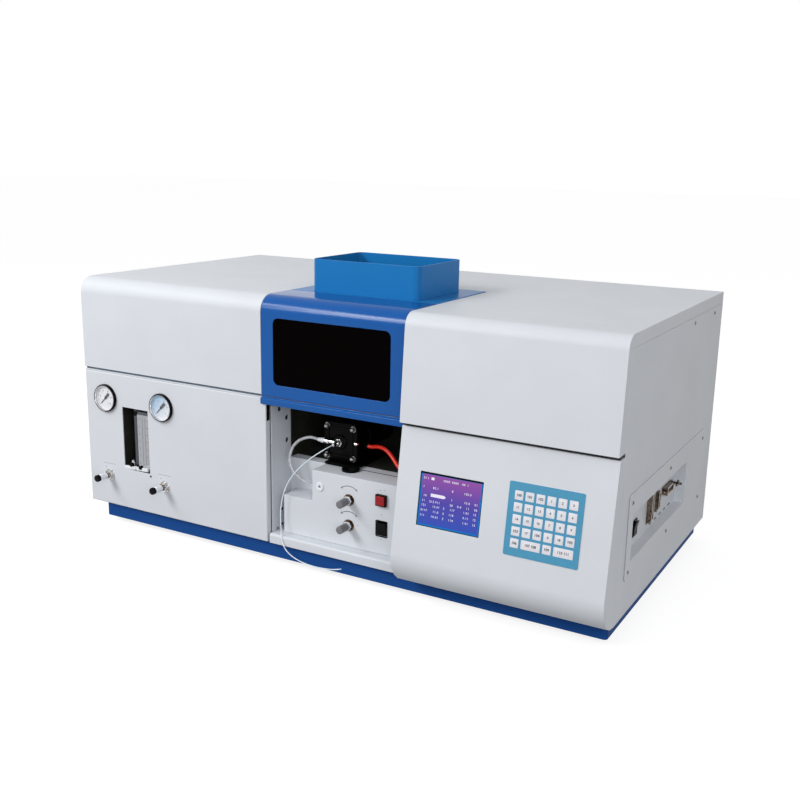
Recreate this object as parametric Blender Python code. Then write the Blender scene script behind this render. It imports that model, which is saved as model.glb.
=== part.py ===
"""A flame atomic absorption spectrometer, as named solids.

Metres, +Z up. The instrument's width runs along X, its front faces -Y, and it stands on Z = 0.
Everything hangs under one empty, so places below are read from the left cabinet's front plane (Y = 0),
the middle of the width (X = 0) and the underside of the base (Z = 0).
"""

import math

import bmesh
import bpy
from mathutils import Matrix, Vector

for leftover in list(bpy.data.objects):
    bpy.data.objects.remove(leftover, do_unlink=True)

MM = 0.001

# Whole cabinet
BODY_DEPTH = 527 * MM
BODY_TOP = 450 * MM
LEFT_CABINET_WIDTH = 404 * MM
BAY_WIDTH = 275.5 * MM
RIGHT_CABINET_WIDTH = 337 * MM
LOWER_TOP = 280 * MM
SEAM = 6 * MM
SHEET = 2 * MM
GAP = 0.3 * MM
PANEL_GAP = 1 * MM
OVERRUN = 6 * MM
FLANGE = 30 * MM
TOP_LIP = 20 * MM
PAN_DEPTH = 12 * MM
TOP_FILLET = 28 * MM
EDGE_ROUND = 2.5 * MM

# Base and feet
BASE_HEIGHT = 28 * MM
BASE_INSET_LEFT = 27.5 * MM
BASE_INSET_RIGHT = 11.5 * MM
BASE_INSET_FRONT = 10 * MM
BASE_INSET_REAR = 7.5 * MM
BASE_CORNER = 6 * MM
FOOT_HEIGHT = 12 * MM
FOOT_RADIUS = 20 * MM
FOOT_ROUND = 3 * MM
FOOT_STEM_RADIUS = 6 * MM
FOOT_INSET = 55 * MM

# Right cabinet's leaning front
RIGHT_TOP_SETOUT = 22 * MM
RIGHT_CURL = 50 * MM
RIGHT_LEAN_SHARE = 0.15
LID_SETOUT = 30.8 * MM
LID_FILLET = 22 * MM
LID_LEAN_SHARE = 0.0733
RIGHT_CLEARANCE = 3.5 * MM
TOP_SEAM_Y = 268 * MM

# Visor, hood and chimney
VISOR_DEPTH = 85 * MM
VISOR_LIP_OUT = 4.5 * MM
VISOR_LIP_HEIGHT = 10 * MM
VISOR_STEP = 2 * MM
VISOR_BOTTOM = 271 * MM
WINDOW_HEIGHT = 110 * MM
WINDOW_FROM_LEFT = 24 * MM
WINDOW_FROM_RIGHT = 31.5 * MM
WINDOW_FROM_TOP = 35 * MM
WINDOW_CORNER = 10 * MM
WINDOW_THICKNESS = 3 * MM
CHIMNEY_DEPTH = 152 * MM
CHIMNEY_HEIGHT = 54 * MM
CHIMNEY_SKIRT = 24 * MM
CHIMNEY_CORNER = 12 * MM
CHIMNEY_FROM_LEFT = 36.5 * MM
CHIMNEY_FROM_RIGHT = 36 * MM
BURNER_Y = 168.5 * MM

# Bulkheads, bay liner, sill and control box
BULKHEAD_START = 10.5 * MM
BULKHEAD_NOTCH_Z = 266 * MM
BULKHEAD_NOTCH_Y = 34 * MM
BULKHEAD_FLANGE_Y = 95 * MM
BULKHEAD_CHAMFER = 26 * MM
BEAM_Z = 330 * MM
BEAM_HOLE_RADIUS = 15 * MM
SMALL_HOLE_RADIUS = 4.6 * MM
SMALL_HOLES = ((33 * MM, 256 * MM), (53 * MM, 237 * MM), (54 * MM, 197 * MM))
LINER_START = 64 * MM
LINER_BACK = 302 * MM
LINER_TOP = 420 * MM
DECK_Z = 165.7 * MM
SILL_TOP = 45 * MM
SILL_DEPTH = 62 * MM
SILL_ROUND = 4 * MM
BOX_SETBACK = 20 * MM
BOX_DEPTH = 42 * MM
BOX_HEIGHT = 120.4 * MM
BOX_FROM_LEFT = 16.7 * MM
NOTCH_WIDTH = 58 * MM
NOTCH_HEIGHT = 54 * MM

# Bay controls, placed across the control box's face right of its notch, and above the sill
KNOB_X_SHARE = 0.3836
HEIGHT_KNOB_Z = 38 * MM
TRAVERSE_KNOB_Z = 81.5 * MM
KNOB_RADIUS = 6.5 * MM
KNOB_LENGTH = 22 * MM
KNOB_FLUTES = 24
KNOB_FLUTE_SHARE = 0.94
KNOB_SHAFT_RADIUS = 3 * MM
KNOB_SHAFT_INSIDE = 20 * MM
BUSH_RADIUS = 8 * MM
BUSH_LENGTH = 7.5 * MM
RUNNING_CLEARANCE = 0.3 * MM
SWITCH_X_SHARE = 0.7125
SWITCH_Z = 93 * MM
SWITCH_SIZE = 19 * MM
SWITCH_RIM = 1.8 * MM
SWITCH_PROUD = 5 * MM
SWITCH_DEPTH = 18 * MM
BUTTON_PROUD = 1.5 * MM
BUTTON_CAP = 5.7 * MM
BUTTON_TRAVEL = 3 * MM
BUTTON_STEM = 12 * MM
BUTTON_STEM_RADIUS = 3 * MM
ROCKER_Z = 44.5 * MM
ROCKER_WIDTH = 17 * MM
ROCKER_HEIGHT = 22.6 * MM
ROCKER_DEPTH = 7 * MM
ROCKER_PROUD = 2.6 * MM
ROCKER_WAIST = 1.4 * MM
ROCKER_TILT = math.radians(7)
ROCKER_CLEARANCE = 0.9 * MM
ROCKER_SIDE_CLEARANCE = 0.45 * MM
ROCKER_NARROWING_SHARE = 1 / 3
SOCKET_X_SHARE = 0.081
SOCKET_Z = 94 * MM
SOCKET_RADIUS = 6.5 * MM
SOCKET_PROUD = 1.5 * MM
SOCKET_BORE = 2 * MM

# Left panel's instruments, placed from the panel's left edge
GAUGE_LEFT_X = 50 * MM
GAUGE_RIGHT_X = 184 * MM
GAUGE_Z = 232.5 * MM
GAUGE_RADIUS = 26 * MM
GAUGE_PROUD = 6 * MM
GAUGE_RIM = 3 * MM
GAUGE_CASE_RADIUS = 22 * MM
GAUGE_CASE_DEPTH = 24 * MM
GAUGE_WALL = 1.5 * MM
DIAL_DEPTH = 2 * MM
LENS_THICKNESS = 1.2 * MM
NEEDLE_LENGTH = 16 * MM
NEEDLE_TAIL = 10 * MM
NEEDLE_WIDTH = 2.2 * MM
NEEDLE_TAIL_WIDTH = 3.6 * MM
NEEDLE_TIP_WIDTH = 0.8 * MM
NEEDLE_THICKNESS = 0.6 * MM
NEEDLE_HUB_RADIUS = 2.4 * MM
NEEDLE_HUB_HEIGHT = 1.4 * MM
NEEDLE_ANGLE = math.radians(-135)
FLOW_WINDOW_LEFT = 88.5 * MM
FLOW_WINDOW_WIDTH = 61 * MM
FLOW_WINDOW_BOTTOM = 103.5 * MM
FLOW_WINDOW_HEIGHT = 117 * MM
FLOW_RECESS_DEPTH = 38 * MM
FLOW_BLOCK_WIDTH = 30 * MM
FLOW_BLOCK_DEPTH = 24 * MM
FLOW_BLOCK_HEIGHT = 100 * MM
FLOW_BLOCK_SETBACK = 5 * MM
FLOW_BORE_RADIUS = 3.2 * MM
FLOW_FOOT_HEIGHT = 6 * MM
FLOAT_RADIUS = 2.7 * MM
FLOAT_HEIGHT = 9 * MM
VALVE_LEFT_X = 50.5 * MM
VALVE_RIGHT_X = 184.5 * MM
VALVE_Z = 86.5 * MM
VALVE_NUT_RADIUS = 8.5 * MM
VALVE_NUT_LENGTH = 6 * MM
VALVE_COLLAR_RADIUS = 6 * MM
VALVE_COLLAR_LENGTH = 4 * MM
VALVE_BODY_RADIUS = 7 * MM
VALVE_BODY_LENGTH = 26 * MM
VALVE_KNOB_RADIUS = 6 * MM
VALVE_KNOB_LENGTH = 24 * MM
VALVE_KNOB_EASE = 1.2 * MM
VALVE_STEM_RADIUS = 2.5 * MM
VALVE_STEM_INSIDE = 14 * MM

# Right panel's instruments, placed along the leaning face from its upper left corner
SCREEN_MARGIN_SHARE = 0.3156
SCREEN_DOWN = 63 * MM
SCREEN_WIDTH = 103 * MM
SCREEN_HEIGHT = 82 * MM
SCREEN_RECESS = 1.5 * MM
SCREEN_THICKNESS = 9 * MM
SCREEN_FRAME = 5 * MM
KEYPAD_MARGIN_SHARE = 0.648
KEYPAD_DOWN = 52.5 * MM
KEYPAD_WIDTH = 112 * MM
KEYPAD_HEIGHT = 107 * MM
KEYPAD_THICKNESS = 1.2 * MM
KEYPAD_CORNER = 2 * MM
KEYPAD_STEPS = 2
KEY_SIZE = 12.6 * MM
KEY_PITCH = 16.3 * MM
KEY_RISE = 0.6 * MM
KEY_COLUMNS = 6
KEY_ROWS = 5
KEY_DOUBLE_COLUMNS = (1, 4)

# Connector panel on the right side
PLATE_FRONT = 32 * MM
PLATE_REAR = 470 * MM
PLATE_BOTTOM = 84 * MM
PLATE_TOP = 215 * MM
PLATE_THICKNESS = 1.5 * MM
PLATE_CORNER = 6 * MM
PLATE_STEPS = 3
RECESS_FRONT = 53 * MM
RECESS_REAR = 352 * MM
RECESS_BOTTOM = 110 * MM
RECESS_TOP = 182 * MM
RECESS_DEPTH = 15 * MM
RECESS_SLOPE = 1 * MM
RECESS_WALL = 1.5 * MM
SLOT_COUNT = 5
SLOT_PITCH = 27 * MM
SLOT_LENGTH = 17 * MM
SLOT_HEIGHT = 3 * MM
SLOT_START = 214 * MM
SLOT_ABOVE = 2.5 * MM
POWER_ROCKER_Y = 121.5 * MM
POWER_ROCKER_Z = 136.4 * MM
BOARD_START = 140 * MM
BOARD_LENGTH = 230 * MM
BOARD_BOTTOM = 70 * MM
BOARD_HEIGHT = 125 * MM
BOARD_THICKNESS = 1.6 * MM
BOARD_SPACING = 7 * MM
PORTS = (
    (190.5 * MM, 11 * MM, 44 * MM),
    (227 * MM, 10 * MM, 28 * MM),
    (292 * MM, 36 * MM, 13 * MM),
)
PORT_Z = 150 * MM
PORT_PROUD = 8 * MM
PORT_CAVITY = 5 * MM
PORT_WALL = 2 * MM
PORT_TONGUE = 2 * MM
PORT_TONGUE_INSET = 4 * MM

# Rear fittings
FAN_FROM_RIGHT = 180 * MM
FAN_Z = 300 * MM
FAN_RADIUS = 44 * MM
FAN_SLOTS = 9
FAN_SLOT_PITCH = 10 * MM
FAN_SLOT_HEIGHT = 5 * MM
FAN_SLOT_INSET = 2 * MM
FAN_HUB_RADIUS = 15 * MM
FAN_HUB_GAP = 1 * MM
FAN_BLADES = 7
FAN_BLADE_LENGTH = 26 * MM
FAN_BLADE_THICKNESS = 1.6 * MM
FAN_BLADE_DEPTH = 14 * MM
FAN_BLADE_PITCH = math.radians(38)
FAN_DEPTH = 20 * MM
FAN_PIN_RADIUS = 3 * MM
FAN_PIN_LENGTH = 14 * MM
INLET_FROM_LEFT = 27 * MM
INLET_Z = 90 * MM
INLET_WIDTH = 28 * MM
INLET_HEIGHT = 20 * MM
INLET_WALL = 2.5 * MM
INLET_DEPTH = 20 * MM
PIN_WIDTH = 4 * MM
PIN_THICKNESS = 2 * MM
PIN_LENGTH = 14 * MM
PIN_SPREAD = 7 * MM
GAS_INLETS = 2
GAS_INLET_FROM_LEFT = 110 * MM
GAS_INLET_PITCH = 60 * MM
GAS_INLET_Z = 90 * MM
GAS_NIPPLE_RADIUS = 5 * MM
GAS_NUT_RADIUS = 10 * MM
GAS_NUT_LENGTH = 8 * MM
GAS_NIPPLE_LENGTH = 18 * MM

# Burner
BURNER_FROM_LEFT = 100 * MM
CHAMBER_Z = 206 * MM
CHAMBER_RADIUS = 27 * MM
CHAMBER_FRONT = 74 * MM
CHAMBER_BACK = 200 * MM
CAP_SIZE = 66 * MM
CAP_THICKNESS = 8 * MM
CAP_CORNER = 9 * MM
CAP_STEPS = 3
CAP_NUT_SPREAD = 25.5 * MM
CAP_NUT_RADIUS = 4.5 * MM
CAP_NUT_LENGTH = 8 * MM
NECK_RADIUS = 13 * MM
NECK_TOP = 262 * MM
HEAD_LENGTH = 112 * MM
HEAD_WIDTH = 26 * MM
HEAD_TOP_WIDTH = 12 * MM
HEAD_BOTTOM = 274 * MM
HEAD_SHOULDER = 286 * MM
HEAD_TOP = 302 * MM
HEAD_SLOT_WIDTH = 1.6 * MM
HEAD_SLOT_LENGTH = 100 * MM
HEAD_SLOT_DEPTH = 6 * MM
COLLAR_RADIUS = 19 * MM
SADDLE_WIDTH = 40 * MM
SADDLE_LENGTH = 60 * MM
SADDLE_START = 92 * MM
CARRIAGE_BOTTOM = 167.2 * MM
CARRIAGE_THICKNESS = 4 * MM
CARRIAGE_START = 56 * MM
CARRIAGE_BACK = 160 * MM
CARRIAGE_LEFT = 24 * MM
POST_FROM_BURNER = 31 * MM
POST_Y = 50 * MM
POST_RADIUS = 6 * MM
POST_BOTTOM = 96 * MM
POST_DISC_RADIUS = 15 * MM
POST_DISC_THICKNESS = 3.6 * MM
POST_DISC_DROP = 1.2 * MM
POST_HOLE_CLEARANCE = 1 * MM
FUEL_PORT_Z = 200.5 * MM
FUEL_PORT_Y = 86 * MM
FUEL_PORT_RADIUS = 5 * MM
FUEL_PORT_END = 39.5 * MM
NEBULIZER_RADIUS = 7 * MM
NEBULIZER_BARREL_RADIUS = 5 * MM
NEBULIZER_TAPER = 2 * MM
NEBULIZER_LENGTH = 22 * MM
NEBULIZER_TIP_RADIUS = 2.6 * MM
NEBULIZER_TIP_LENGTH = 10 * MM
NEBULIZER_HEX_LENGTH = 7 * MM
NEBULIZER_BORE = 1.2 * MM
NEBULIZER_BORE_DEPTH = 14 * MM
AIR_PORT_RADIUS = 3.2 * MM
AIR_PORT_LENGTH = 28 * MM
AIR_PORT_SETOUT = 6 * MM

# Hoses and capillary: routes are lists of points chosen by hand, in metres from the same origin
AIR_HOSE_RADIUS = 2.4 * MM
FUEL_HOSE_RADIUS = 3.2 * MM
CAPILLARY_RADIUS = 0.9 * MM
HOSE_STEP = 6 * MM
CAPILLARY_STEP = 5 * MM
AIR_HOSE_ROUTE = [
    (-0.0223, 0.0597, 0.2060),
    (-0.0330, 0.0597, 0.2060),
    (-0.0450, 0.0570, 0.2082),
    (-0.0560, 0.0520, 0.2065),
    (-0.0655, 0.0455, 0.2010),
    (-0.0720, 0.0390, 0.1910),
    (-0.0742, 0.0345, 0.1780),
    (-0.0728, 0.0325, 0.1650),
    (-0.0680, 0.0325, 0.1540),
    (-0.0600, 0.0345, 0.1445),
    (-0.0500, 0.0370, 0.1375),
    (-0.0395, 0.0390, 0.1325),
    (-0.0300, 0.0400, 0.1300),
    (-0.0205, 0.0400, 0.1290),
]
FUEL_HOSE_ROUTE = [
    (0.0458, 0.0860, 0.2005),
    (0.0560, 0.0860, 0.2005),
    (0.0660, 0.0840, 0.2030),
    (0.0760, 0.0815, 0.2038),
    (0.0860, 0.0785, 0.2025),
    (0.0960, 0.0755, 0.1980),
    (0.1060, 0.0715, 0.1910),
    (0.1150, 0.0680, 0.1835),
    (0.1250, 0.0650, 0.1775),
    (0.1360, 0.0622, 0.1738),
    (0.1470, 0.0605, 0.1730),
    (0.1580, 0.0600, 0.1735),
    (0.1692, 0.0600, 0.1735),
]
CAPILLARY_ROUTE = [
    (0.0060, 0.0500, 0.2060),
    (0.0060, 0.0430, 0.2060),
    (0.0060, 0.0360, 0.2059),
    (0.0050, 0.0280, 0.2048),
    (0.0010, 0.0208, 0.2014),
    (-0.0075, 0.0160, 0.1950),
    (-0.0185, 0.0128, 0.1862),
    (-0.0310, 0.0108, 0.1750),
    (-0.0435, 0.0101, 0.1622),
    (-0.0548, 0.0098, 0.1482),
    (-0.0642, 0.0096, 0.1325),
    (-0.0708, 0.0092, 0.1155),
    (-0.0745, 0.0085, 0.0975),
    (-0.0754, 0.0073, 0.0800),
    (-0.0738, 0.0055, 0.0650),
    (-0.0714, 0.0033, 0.0535),
    (-0.0692, 0.0007, 0.0465),
    (-0.0670, -0.0014, 0.0405),
    (-0.0638, -0.0032, 0.0345),
    (-0.0580, -0.0050, 0.0272),
    (-0.0490, -0.0060, 0.0202),
    (-0.0375, -0.0064, 0.0148),
    (-0.0235, -0.0066, 0.0110),
    (-0.0080, -0.0066, 0.0090),
    (0.0085, -0.0066, 0.0086),
    (0.0250, -0.0067, 0.0096),
    (0.0410, -0.0069, 0.0122),
    (0.0560, -0.0071, 0.0162),
]

# Inside the left cabinet
TURRET_FROM_LEFT = 156.5 * MM
TURRET_RADIUS = 62 * MM
TURRET_THICKNESS = 8 * MM
LAMP_ORBIT = 42 * MM
LAMP_RADIUS = 19 * MM
LAMP_BASE_RADIUS = 15 * MM
LAMP_BASE_LENGTH = 28 * MM
LAMP_LENGTH = 165 * MM
LAMP_NECK = 6 * MM
LAMP_WINDOW_RADIUS = 16 * MM
SPARE_SOCKET_RADIUS = 16 * MM
SPARE_SOCKET_BORE = 12 * MM
SPARE_SOCKET_HEIGHT = 10 * MM
TURRET_SHAFT_RADIUS = 8 * MM
STAND_THICKNESS = 6 * MM
STAND_WIDTH = 90 * MM
STAND_TOP_WIDTH = 44 * MM
STAND_FOOT = 60 * MM
STAND_BOSS_LENGTH = 10 * MM
STAND_BOSS_RADIUS = 15 * MM
STAND_ABOVE = 26 * MM

# Inside the right cabinet
HOUSING_START = 14 * MM
HOUSING_SIDE_CLEARANCE = 27 * MM
HOUSING_FRONT = 86 * MM
HOUSING_BACK = 256 * MM
HOUSING_BOTTOM = 296 * MM
HOUSING_TOP = 384 * MM
HOUSING_WALL = 4 * MM
HOUSING_LEG = 22 * MM
HOUSING_SHAFT_HOLE = 6 * MM
TUBE_CAN_RADIUS = 20 * MM
TUBE_CAN_LENGTH = 46 * MM
TUBE_PORT_RADIUS = 8 * MM
TUBE_PORT_RISE = 8 * MM
TABLE_X_SHARE = 0.72
TABLE_RADIUS = 30 * MM
TABLE_THICKNESS = 6 * MM
GRATING_WIDTH = 46 * MM
GRATING_HEIGHT = 44 * MM
GRATING_THICKNESS = 9 * MM
TABLE_SHAFT_RADIUS = 5.6 * MM
TABLE_SHAFT_LENGTH = 22 * MM
CORE_FROM_LEFT = 97 * MM
CORE_FROM_BACK = 177 * MM
CORE_WIDTH = 96 * MM
CORE_DEPTH = 50 * MM
CORE_HEIGHT = 80 * MM
COIL_WIDTH = 60 * MM
COIL_DEPTH = 84 * MM
COIL_HEIGHT = 56 * MM
COIL_ROUND = 12 * MM
COIL_STEPS = 3

# Facets
ROUND_STEPS = 32
SMALL_STEPS = 16
HEX = 6
EDGE_SEGMENTS = 3
ARC_STEPS = 6
TUBE_SIDES = 2
SMOOTH_ANGLE = math.radians(40)
WELD = 0.001 * MM

# Places worked out from the sizes above
BODY_WIDTH = LEFT_CABINET_WIDTH + BAY_WIDTH + RIGHT_CLEARANCE + RIGHT_CABINET_WIDTH
X_LEFT = -BODY_WIDTH / 2
X_RIGHT = BODY_WIDTH / 2
HOOD_LEFT = X_LEFT + LEFT_CABINET_WIDTH
HOOD_RIGHT = HOOD_LEFT + BAY_WIDTH
RIGHT_LEFT_X = HOOD_RIGHT + RIGHT_CLEARANCE
BAY_LEFT = HOOD_LEFT + 2 * PANEL_GAP + PAN_DEPTH - SHEET
PAN_RIGHT = BAY_LEFT - 2 * SHEET
CASE_BOTTOM = BASE_HEIGHT + GAP
UPPER_BOTTOM = LOWER_TOP + SEAM
LIP_BOTTOM = BODY_TOP - TOP_LIP
CHIMNEY_LEFT = HOOD_LEFT + CHIMNEY_FROM_LEFT
CHIMNEY_WIDTH = BAY_WIDTH - CHIMNEY_FROM_LEFT - CHIMNEY_FROM_RIGHT
CHIMNEY_FRONT = BURNER_Y - CHIMNEY_DEPTH / 2
WINDOW_LEFT = HOOD_LEFT + WINDOW_FROM_LEFT
WINDOW_WIDTH = BAY_WIDTH - WINDOW_FROM_LEFT - WINDOW_FROM_RIGHT
WINDOW_TOP = BODY_TOP - WINDOW_FROM_TOP
BOX_LEFT = BAY_LEFT + BOX_FROM_LEFT
BOX_BOTTOM = SILL_TOP + GAP
PANEL_FREE_WIDTH = RIGHT_CABINET_WIDTH - SCREEN_WIDTH - KEYPAD_WIDTH
SCREEN_X = PANEL_FREE_WIDTH * SCREEN_MARGIN_SHARE
KEYPAD_X = SCREEN_WIDTH + PANEL_FREE_WIDTH * KEYPAD_MARGIN_SHARE
FACE_LEFT = BOX_LEFT + NOTCH_WIDTH
FACE_WIDTH = HOOD_RIGHT - GAP - FACE_LEFT
KNOB_X = FACE_LEFT + FACE_WIDTH * KNOB_X_SHARE
SWITCH_X = FACE_LEFT + FACE_WIDTH * SWITCH_X_SHARE
SOCKET_X = FACE_LEFT + FACE_WIDTH * SOCKET_X_SHARE
BURNER_X = BAY_LEFT + BURNER_FROM_LEFT
POST_X = BURNER_X + POST_FROM_BURNER
BOX_TOP = BOX_BOTTOM + BOX_HEIGHT
BOX_BACK = BOX_SETBACK + BOX_DEPTH
REAR_INNER = BODY_DEPTH - SHEET
FAN_X = X_RIGHT - FAN_FROM_RIGHT
INLET_X = RIGHT_LEFT_X + INLET_FROM_LEFT
CORE_X = RIGHT_LEFT_X + CORE_FROM_LEFT
CORE_Y = BODY_DEPTH - CORE_FROM_BACK
REAR_MOST = BODY_DEPTH + GAS_NUT_LENGTH + GAS_NIPPLE_LENGTH
TURRET_X = X_LEFT + TURRET_FROM_LEFT
TURRET_Z = BEAM_Z - LAMP_ORBIT

UP = Vector((0, 0, 1))
RIGHTWARD = Vector((1, 0, 0))
BACKWARD = Vector((0, 1, 0))


def arc(centre, radius, start, end, steps=ARC_STEPS):
    """Points on an arc in a plane, angles in degrees."""
    points = []
    for i in range(steps + 1):
        angle = math.radians(start + (end - start) * i / steps)
        points.append((centre[0] + radius * math.cos(angle), centre[1] + radius * math.sin(angle)))
    return points


def rounded(low, high, radius, steps=ARC_STEPS):
    """A rectangle with round corners, as an outline."""
    left, bottom = low[0] + radius, low[1] + radius
    right, top = high[0] - radius, high[1] - radius
    outline = arc((right, top), radius, 0, 90, steps)
    outline += arc((left, top), radius, 90, 180, steps)
    outline += arc((left, bottom), radius, 180, 270, steps)
    outline += arc((right, bottom), radius, 270, 360, steps)
    return outline


def rectangle(low, high):
    return [(low[0], low[1]), (high[0], low[1]), (high[0], high[1]), (low[0], high[1])]


def inset(points, distance):
    """An open line moved to its right-hand side by a distance, with its corners kept sharp."""
    moved = []
    for i, point in enumerate(points):
        here = Vector(point)
        before = Vector(points[i - 1]) if i else None
        after = Vector(points[i + 1]) if i + 1 < len(points) else None
        sides = []
        if before is not None:
            sides.append((here - before).normalized())
        if after is not None:
            sides.append((after - here).normalized())
        normals = [Vector((side.y, -side.x)) for side in sides]
        middle = sum(normals, Vector((0, 0))).normalized()
        moved.append(tuple(here + middle * (distance / middle.dot(normals[0]))))
    return moved


def around(centre, width, height, grow_width=0, grow_height=0):
    """A rectangle about its centre, grown by so much on each side."""
    reach = (width / 2 + grow_width, height / 2 + grow_height)
    low = (centre[0] - reach[0], centre[1] - reach[1])
    return rectangle(low, (centre[0] + reach[0], centre[1] + reach[1]))


def slab(outline, axis, start, end):
    """An outline drawn square to an axis and carried along it."""
    along = "xyz".index(axis)
    across, upward = [i for i in range(len("xyz")) if i != along]
    shape = bmesh.new()
    corners = []
    for point in outline:
        place = [0, 0, 0]
        place[across], place[upward], place[along] = point[0], point[1], start
        corners.append(shape.verts.new(place))
    face = shape.faces.new(corners)
    grown = bmesh.ops.extrude_face_region(shape, geom=[face])
    travel = [0, 0, 0]
    travel[along] = end - start
    moving = [item for item in grown["geom"] if isinstance(item, bmesh.types.BMVert)]
    bmesh.ops.translate(shape, verts=moving, vec=travel)
    return shape


def block(low, high):
    return slab(rectangle(low[:2], high[:2]), "z", low[2], high[2])


def turned(profile, place, direction=UP, steps=ROUND_STEPS, closed=False):
    """A profile of (radius, height) spun about an axis through a place."""
    shape = bmesh.new()
    points = [shape.verts.new((radius, 0, height)) for radius, height in profile]
    edges = [shape.edges.new(pair) for pair in zip(points, points[1:])]
    if closed:
        edges.append(shape.edges.new((points[-1], points[0])))
    bmesh.ops.spin(
        shape, geom=points + edges, cent=(0, 0, 0), axis=UP, angle=math.tau, steps=steps, use_merge=True
    )
    bmesh.ops.remove_doubles(shape, verts=shape.verts, dist=WELD)
    turn = UP.rotation_difference(Vector(direction)).to_matrix().to_4x4()
    shape.transform(Matrix.Translation(place) @ turn)
    return shape


def rod(radius, place, direction, length, steps=ROUND_STEPS):
    """A plain cylinder that starts at a place."""
    return turned([(0, 0), (radius, 0), (radius, length), (0, length)], place, direction, steps)


def drill(radius, place, direction, steps=ROUND_STEPS, depth=0):
    """A cutter that starts before a place and ends past it, or past a depth beyond it."""
    start = Vector(place) - Vector(direction) * OVERRUN
    return rod(radius, start, direction, 2 * OVERRUN + depth, steps)


def paint(name, colour, roughness, metallic=0.0):
    finish = bpy.data.materials.new(name)
    finish.use_nodes = True
    shader = finish.node_tree.nodes["Principled BSDF"]
    shader.inputs["Base Color"].default_value = (*colour, 1.0)
    shader.inputs["Roughness"].default_value = roughness
    shader.inputs["Metallic"].default_value = metallic
    return finish


def make(name, shape, finish, pivot=(0, 0, 0), smooth=False):
    """Makes a shape a named object with its origin on its pivot, under the cabinet's empty."""
    bmesh.ops.recalc_face_normals(shape, faces=shape.faces)
    bmesh.ops.translate(shape, verts=shape.verts, vec=-Vector(pivot))
    mesh = bpy.data.meshes.new(name)
    shape.to_mesh(mesh)
    shape.free()
    piece = bpy.data.objects.new(name, mesh)
    piece.location = pivot
    piece.parent = CABINET
    bpy.context.scene.collection.objects.link(piece)
    if finish is not None:
        mesh.materials.append(finish)
    if smooth:
        mesh.shade_smooth()
        mesh.set_sharp_from_angle(angle=SMOOTH_ANGLE)
    return piece


def combine(piece, shapes, operation):
    """Adds one Boolean for each shape, with the shape kept as a wire helper."""
    for number, shape in enumerate(shapes, len(piece.modifiers)):
        helper = make(f"{piece.name}_helper_{number}", shape, None)
        helper.hide_render = True
        helper.display_type = "WIRE"
        modifier = piece.modifiers.new(f"{operation.lower()} {number}", "BOOLEAN")
        modifier.operation = operation
        modifier.object = helper
    return piece


def cut(piece, *shapes):
    return combine(piece, shapes, "DIFFERENCE")


def fuse(piece, *shapes):
    return combine(piece, shapes, "UNION")


def smooth_tube(name, route, radius, step, finish):
    """A hose as a round tube along a smooth curve through its route's points."""
    points = [Vector(point) for point in route]
    ends = [points[0] * 2 - points[1]] + points + [points[-1] * 2 - points[-2]]
    path = []
    for i in range(1, len(ends) - 2):
        before, start, end, after = ends[i - 1], ends[i], ends[i + 1], ends[i + 2]
        pieces = max(1, round((end - start).length / step))
        for j in range(pieces):
            t = j / pieces
            bend = 2 * before - 5 * start + 4 * end - after
            twist = 3 * start - before - 3 * end + after
            path.append((2 * start + (end - before) * t + bend * t * t + twist * t**3) / 2)
    path.append(points[-1])
    curve = bpy.data.curves.new(name, "CURVE")
    curve.dimensions = "3D"
    curve.bevel_depth = radius
    curve.bevel_resolution = TUBE_SIDES
    curve.use_fill_caps = True
    line = curve.splines.new("POLY")
    line.points.add(len(path) - 1)
    for point, place in zip(line.points, path):
        point.co = (*place, 1)
    curve.materials.append(finish)
    hose = bpy.data.objects.new(name, curve)
    hose.parent = CABINET
    bpy.context.scene.collection.objects.link(hose)
    return hose


WHITE_PAINT = paint("white powder coat", (0.68, 0.70, 0.74), 0.42)
BLUE_PAINT = paint("blue powder coat", (0.02, 0.12, 0.42), 0.38)
DARK_BLUE_PAINT = paint("dark blue powder coat", (0.01, 0.05, 0.22), 0.42)
BLACK_PAINT = paint("black paint", (0.02, 0.02, 0.02), 0.6)
BLACK_PLASTIC = paint("black plastic", (0.015, 0.015, 0.015), 0.4)
GREY_PLASTIC = paint("grey plastic", (0.30, 0.30, 0.32), 0.5)
RED_PLASTIC = paint("red plastic", (0.6, 0.02, 0.03), 0.35)
SMOKED_GLASS = paint("smoked glass", (0.01, 0.01, 0.01), 0.1)
CLEAR_GLASS = paint("clear glass", (0.8, 0.85, 0.9), 0.05)
ACRYLIC = paint("clear acrylic", (0.75, 0.78, 0.82), 0.1)
CHROME = paint("chrome", (0.8, 0.8, 0.8), 0.12, 1.0)
STEEL = paint("steel", (0.5, 0.5, 0.5), 0.35, 1.0)
TITANIUM = paint("titanium", (0.45, 0.43, 0.4), 0.4, 1.0)
ALUMINIUM = paint("aluminium", (0.6, 0.6, 0.62), 0.4, 1.0)
RUBBER = paint("rubber", (0.02, 0.02, 0.02), 0.8)
TEAL_FILM = paint("teal film", (0.07, 0.33, 0.50), 0.5)
DISPLAY = paint("display", (0.10, 0.08, 0.40), 0.2)
RED_HOSE = paint("red hose", (0.7, 0.05, 0.02), 0.4)
CLEAR_HOSE = paint("clear hose", (0.6, 0.6, 0.62), 0.3)
WHITE_TUBE = paint("white capillary", (0.8, 0.82, 0.85), 0.4)
GREEN_BOARD = paint("circuit board", (0.02, 0.16, 0.06), 0.5)


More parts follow.
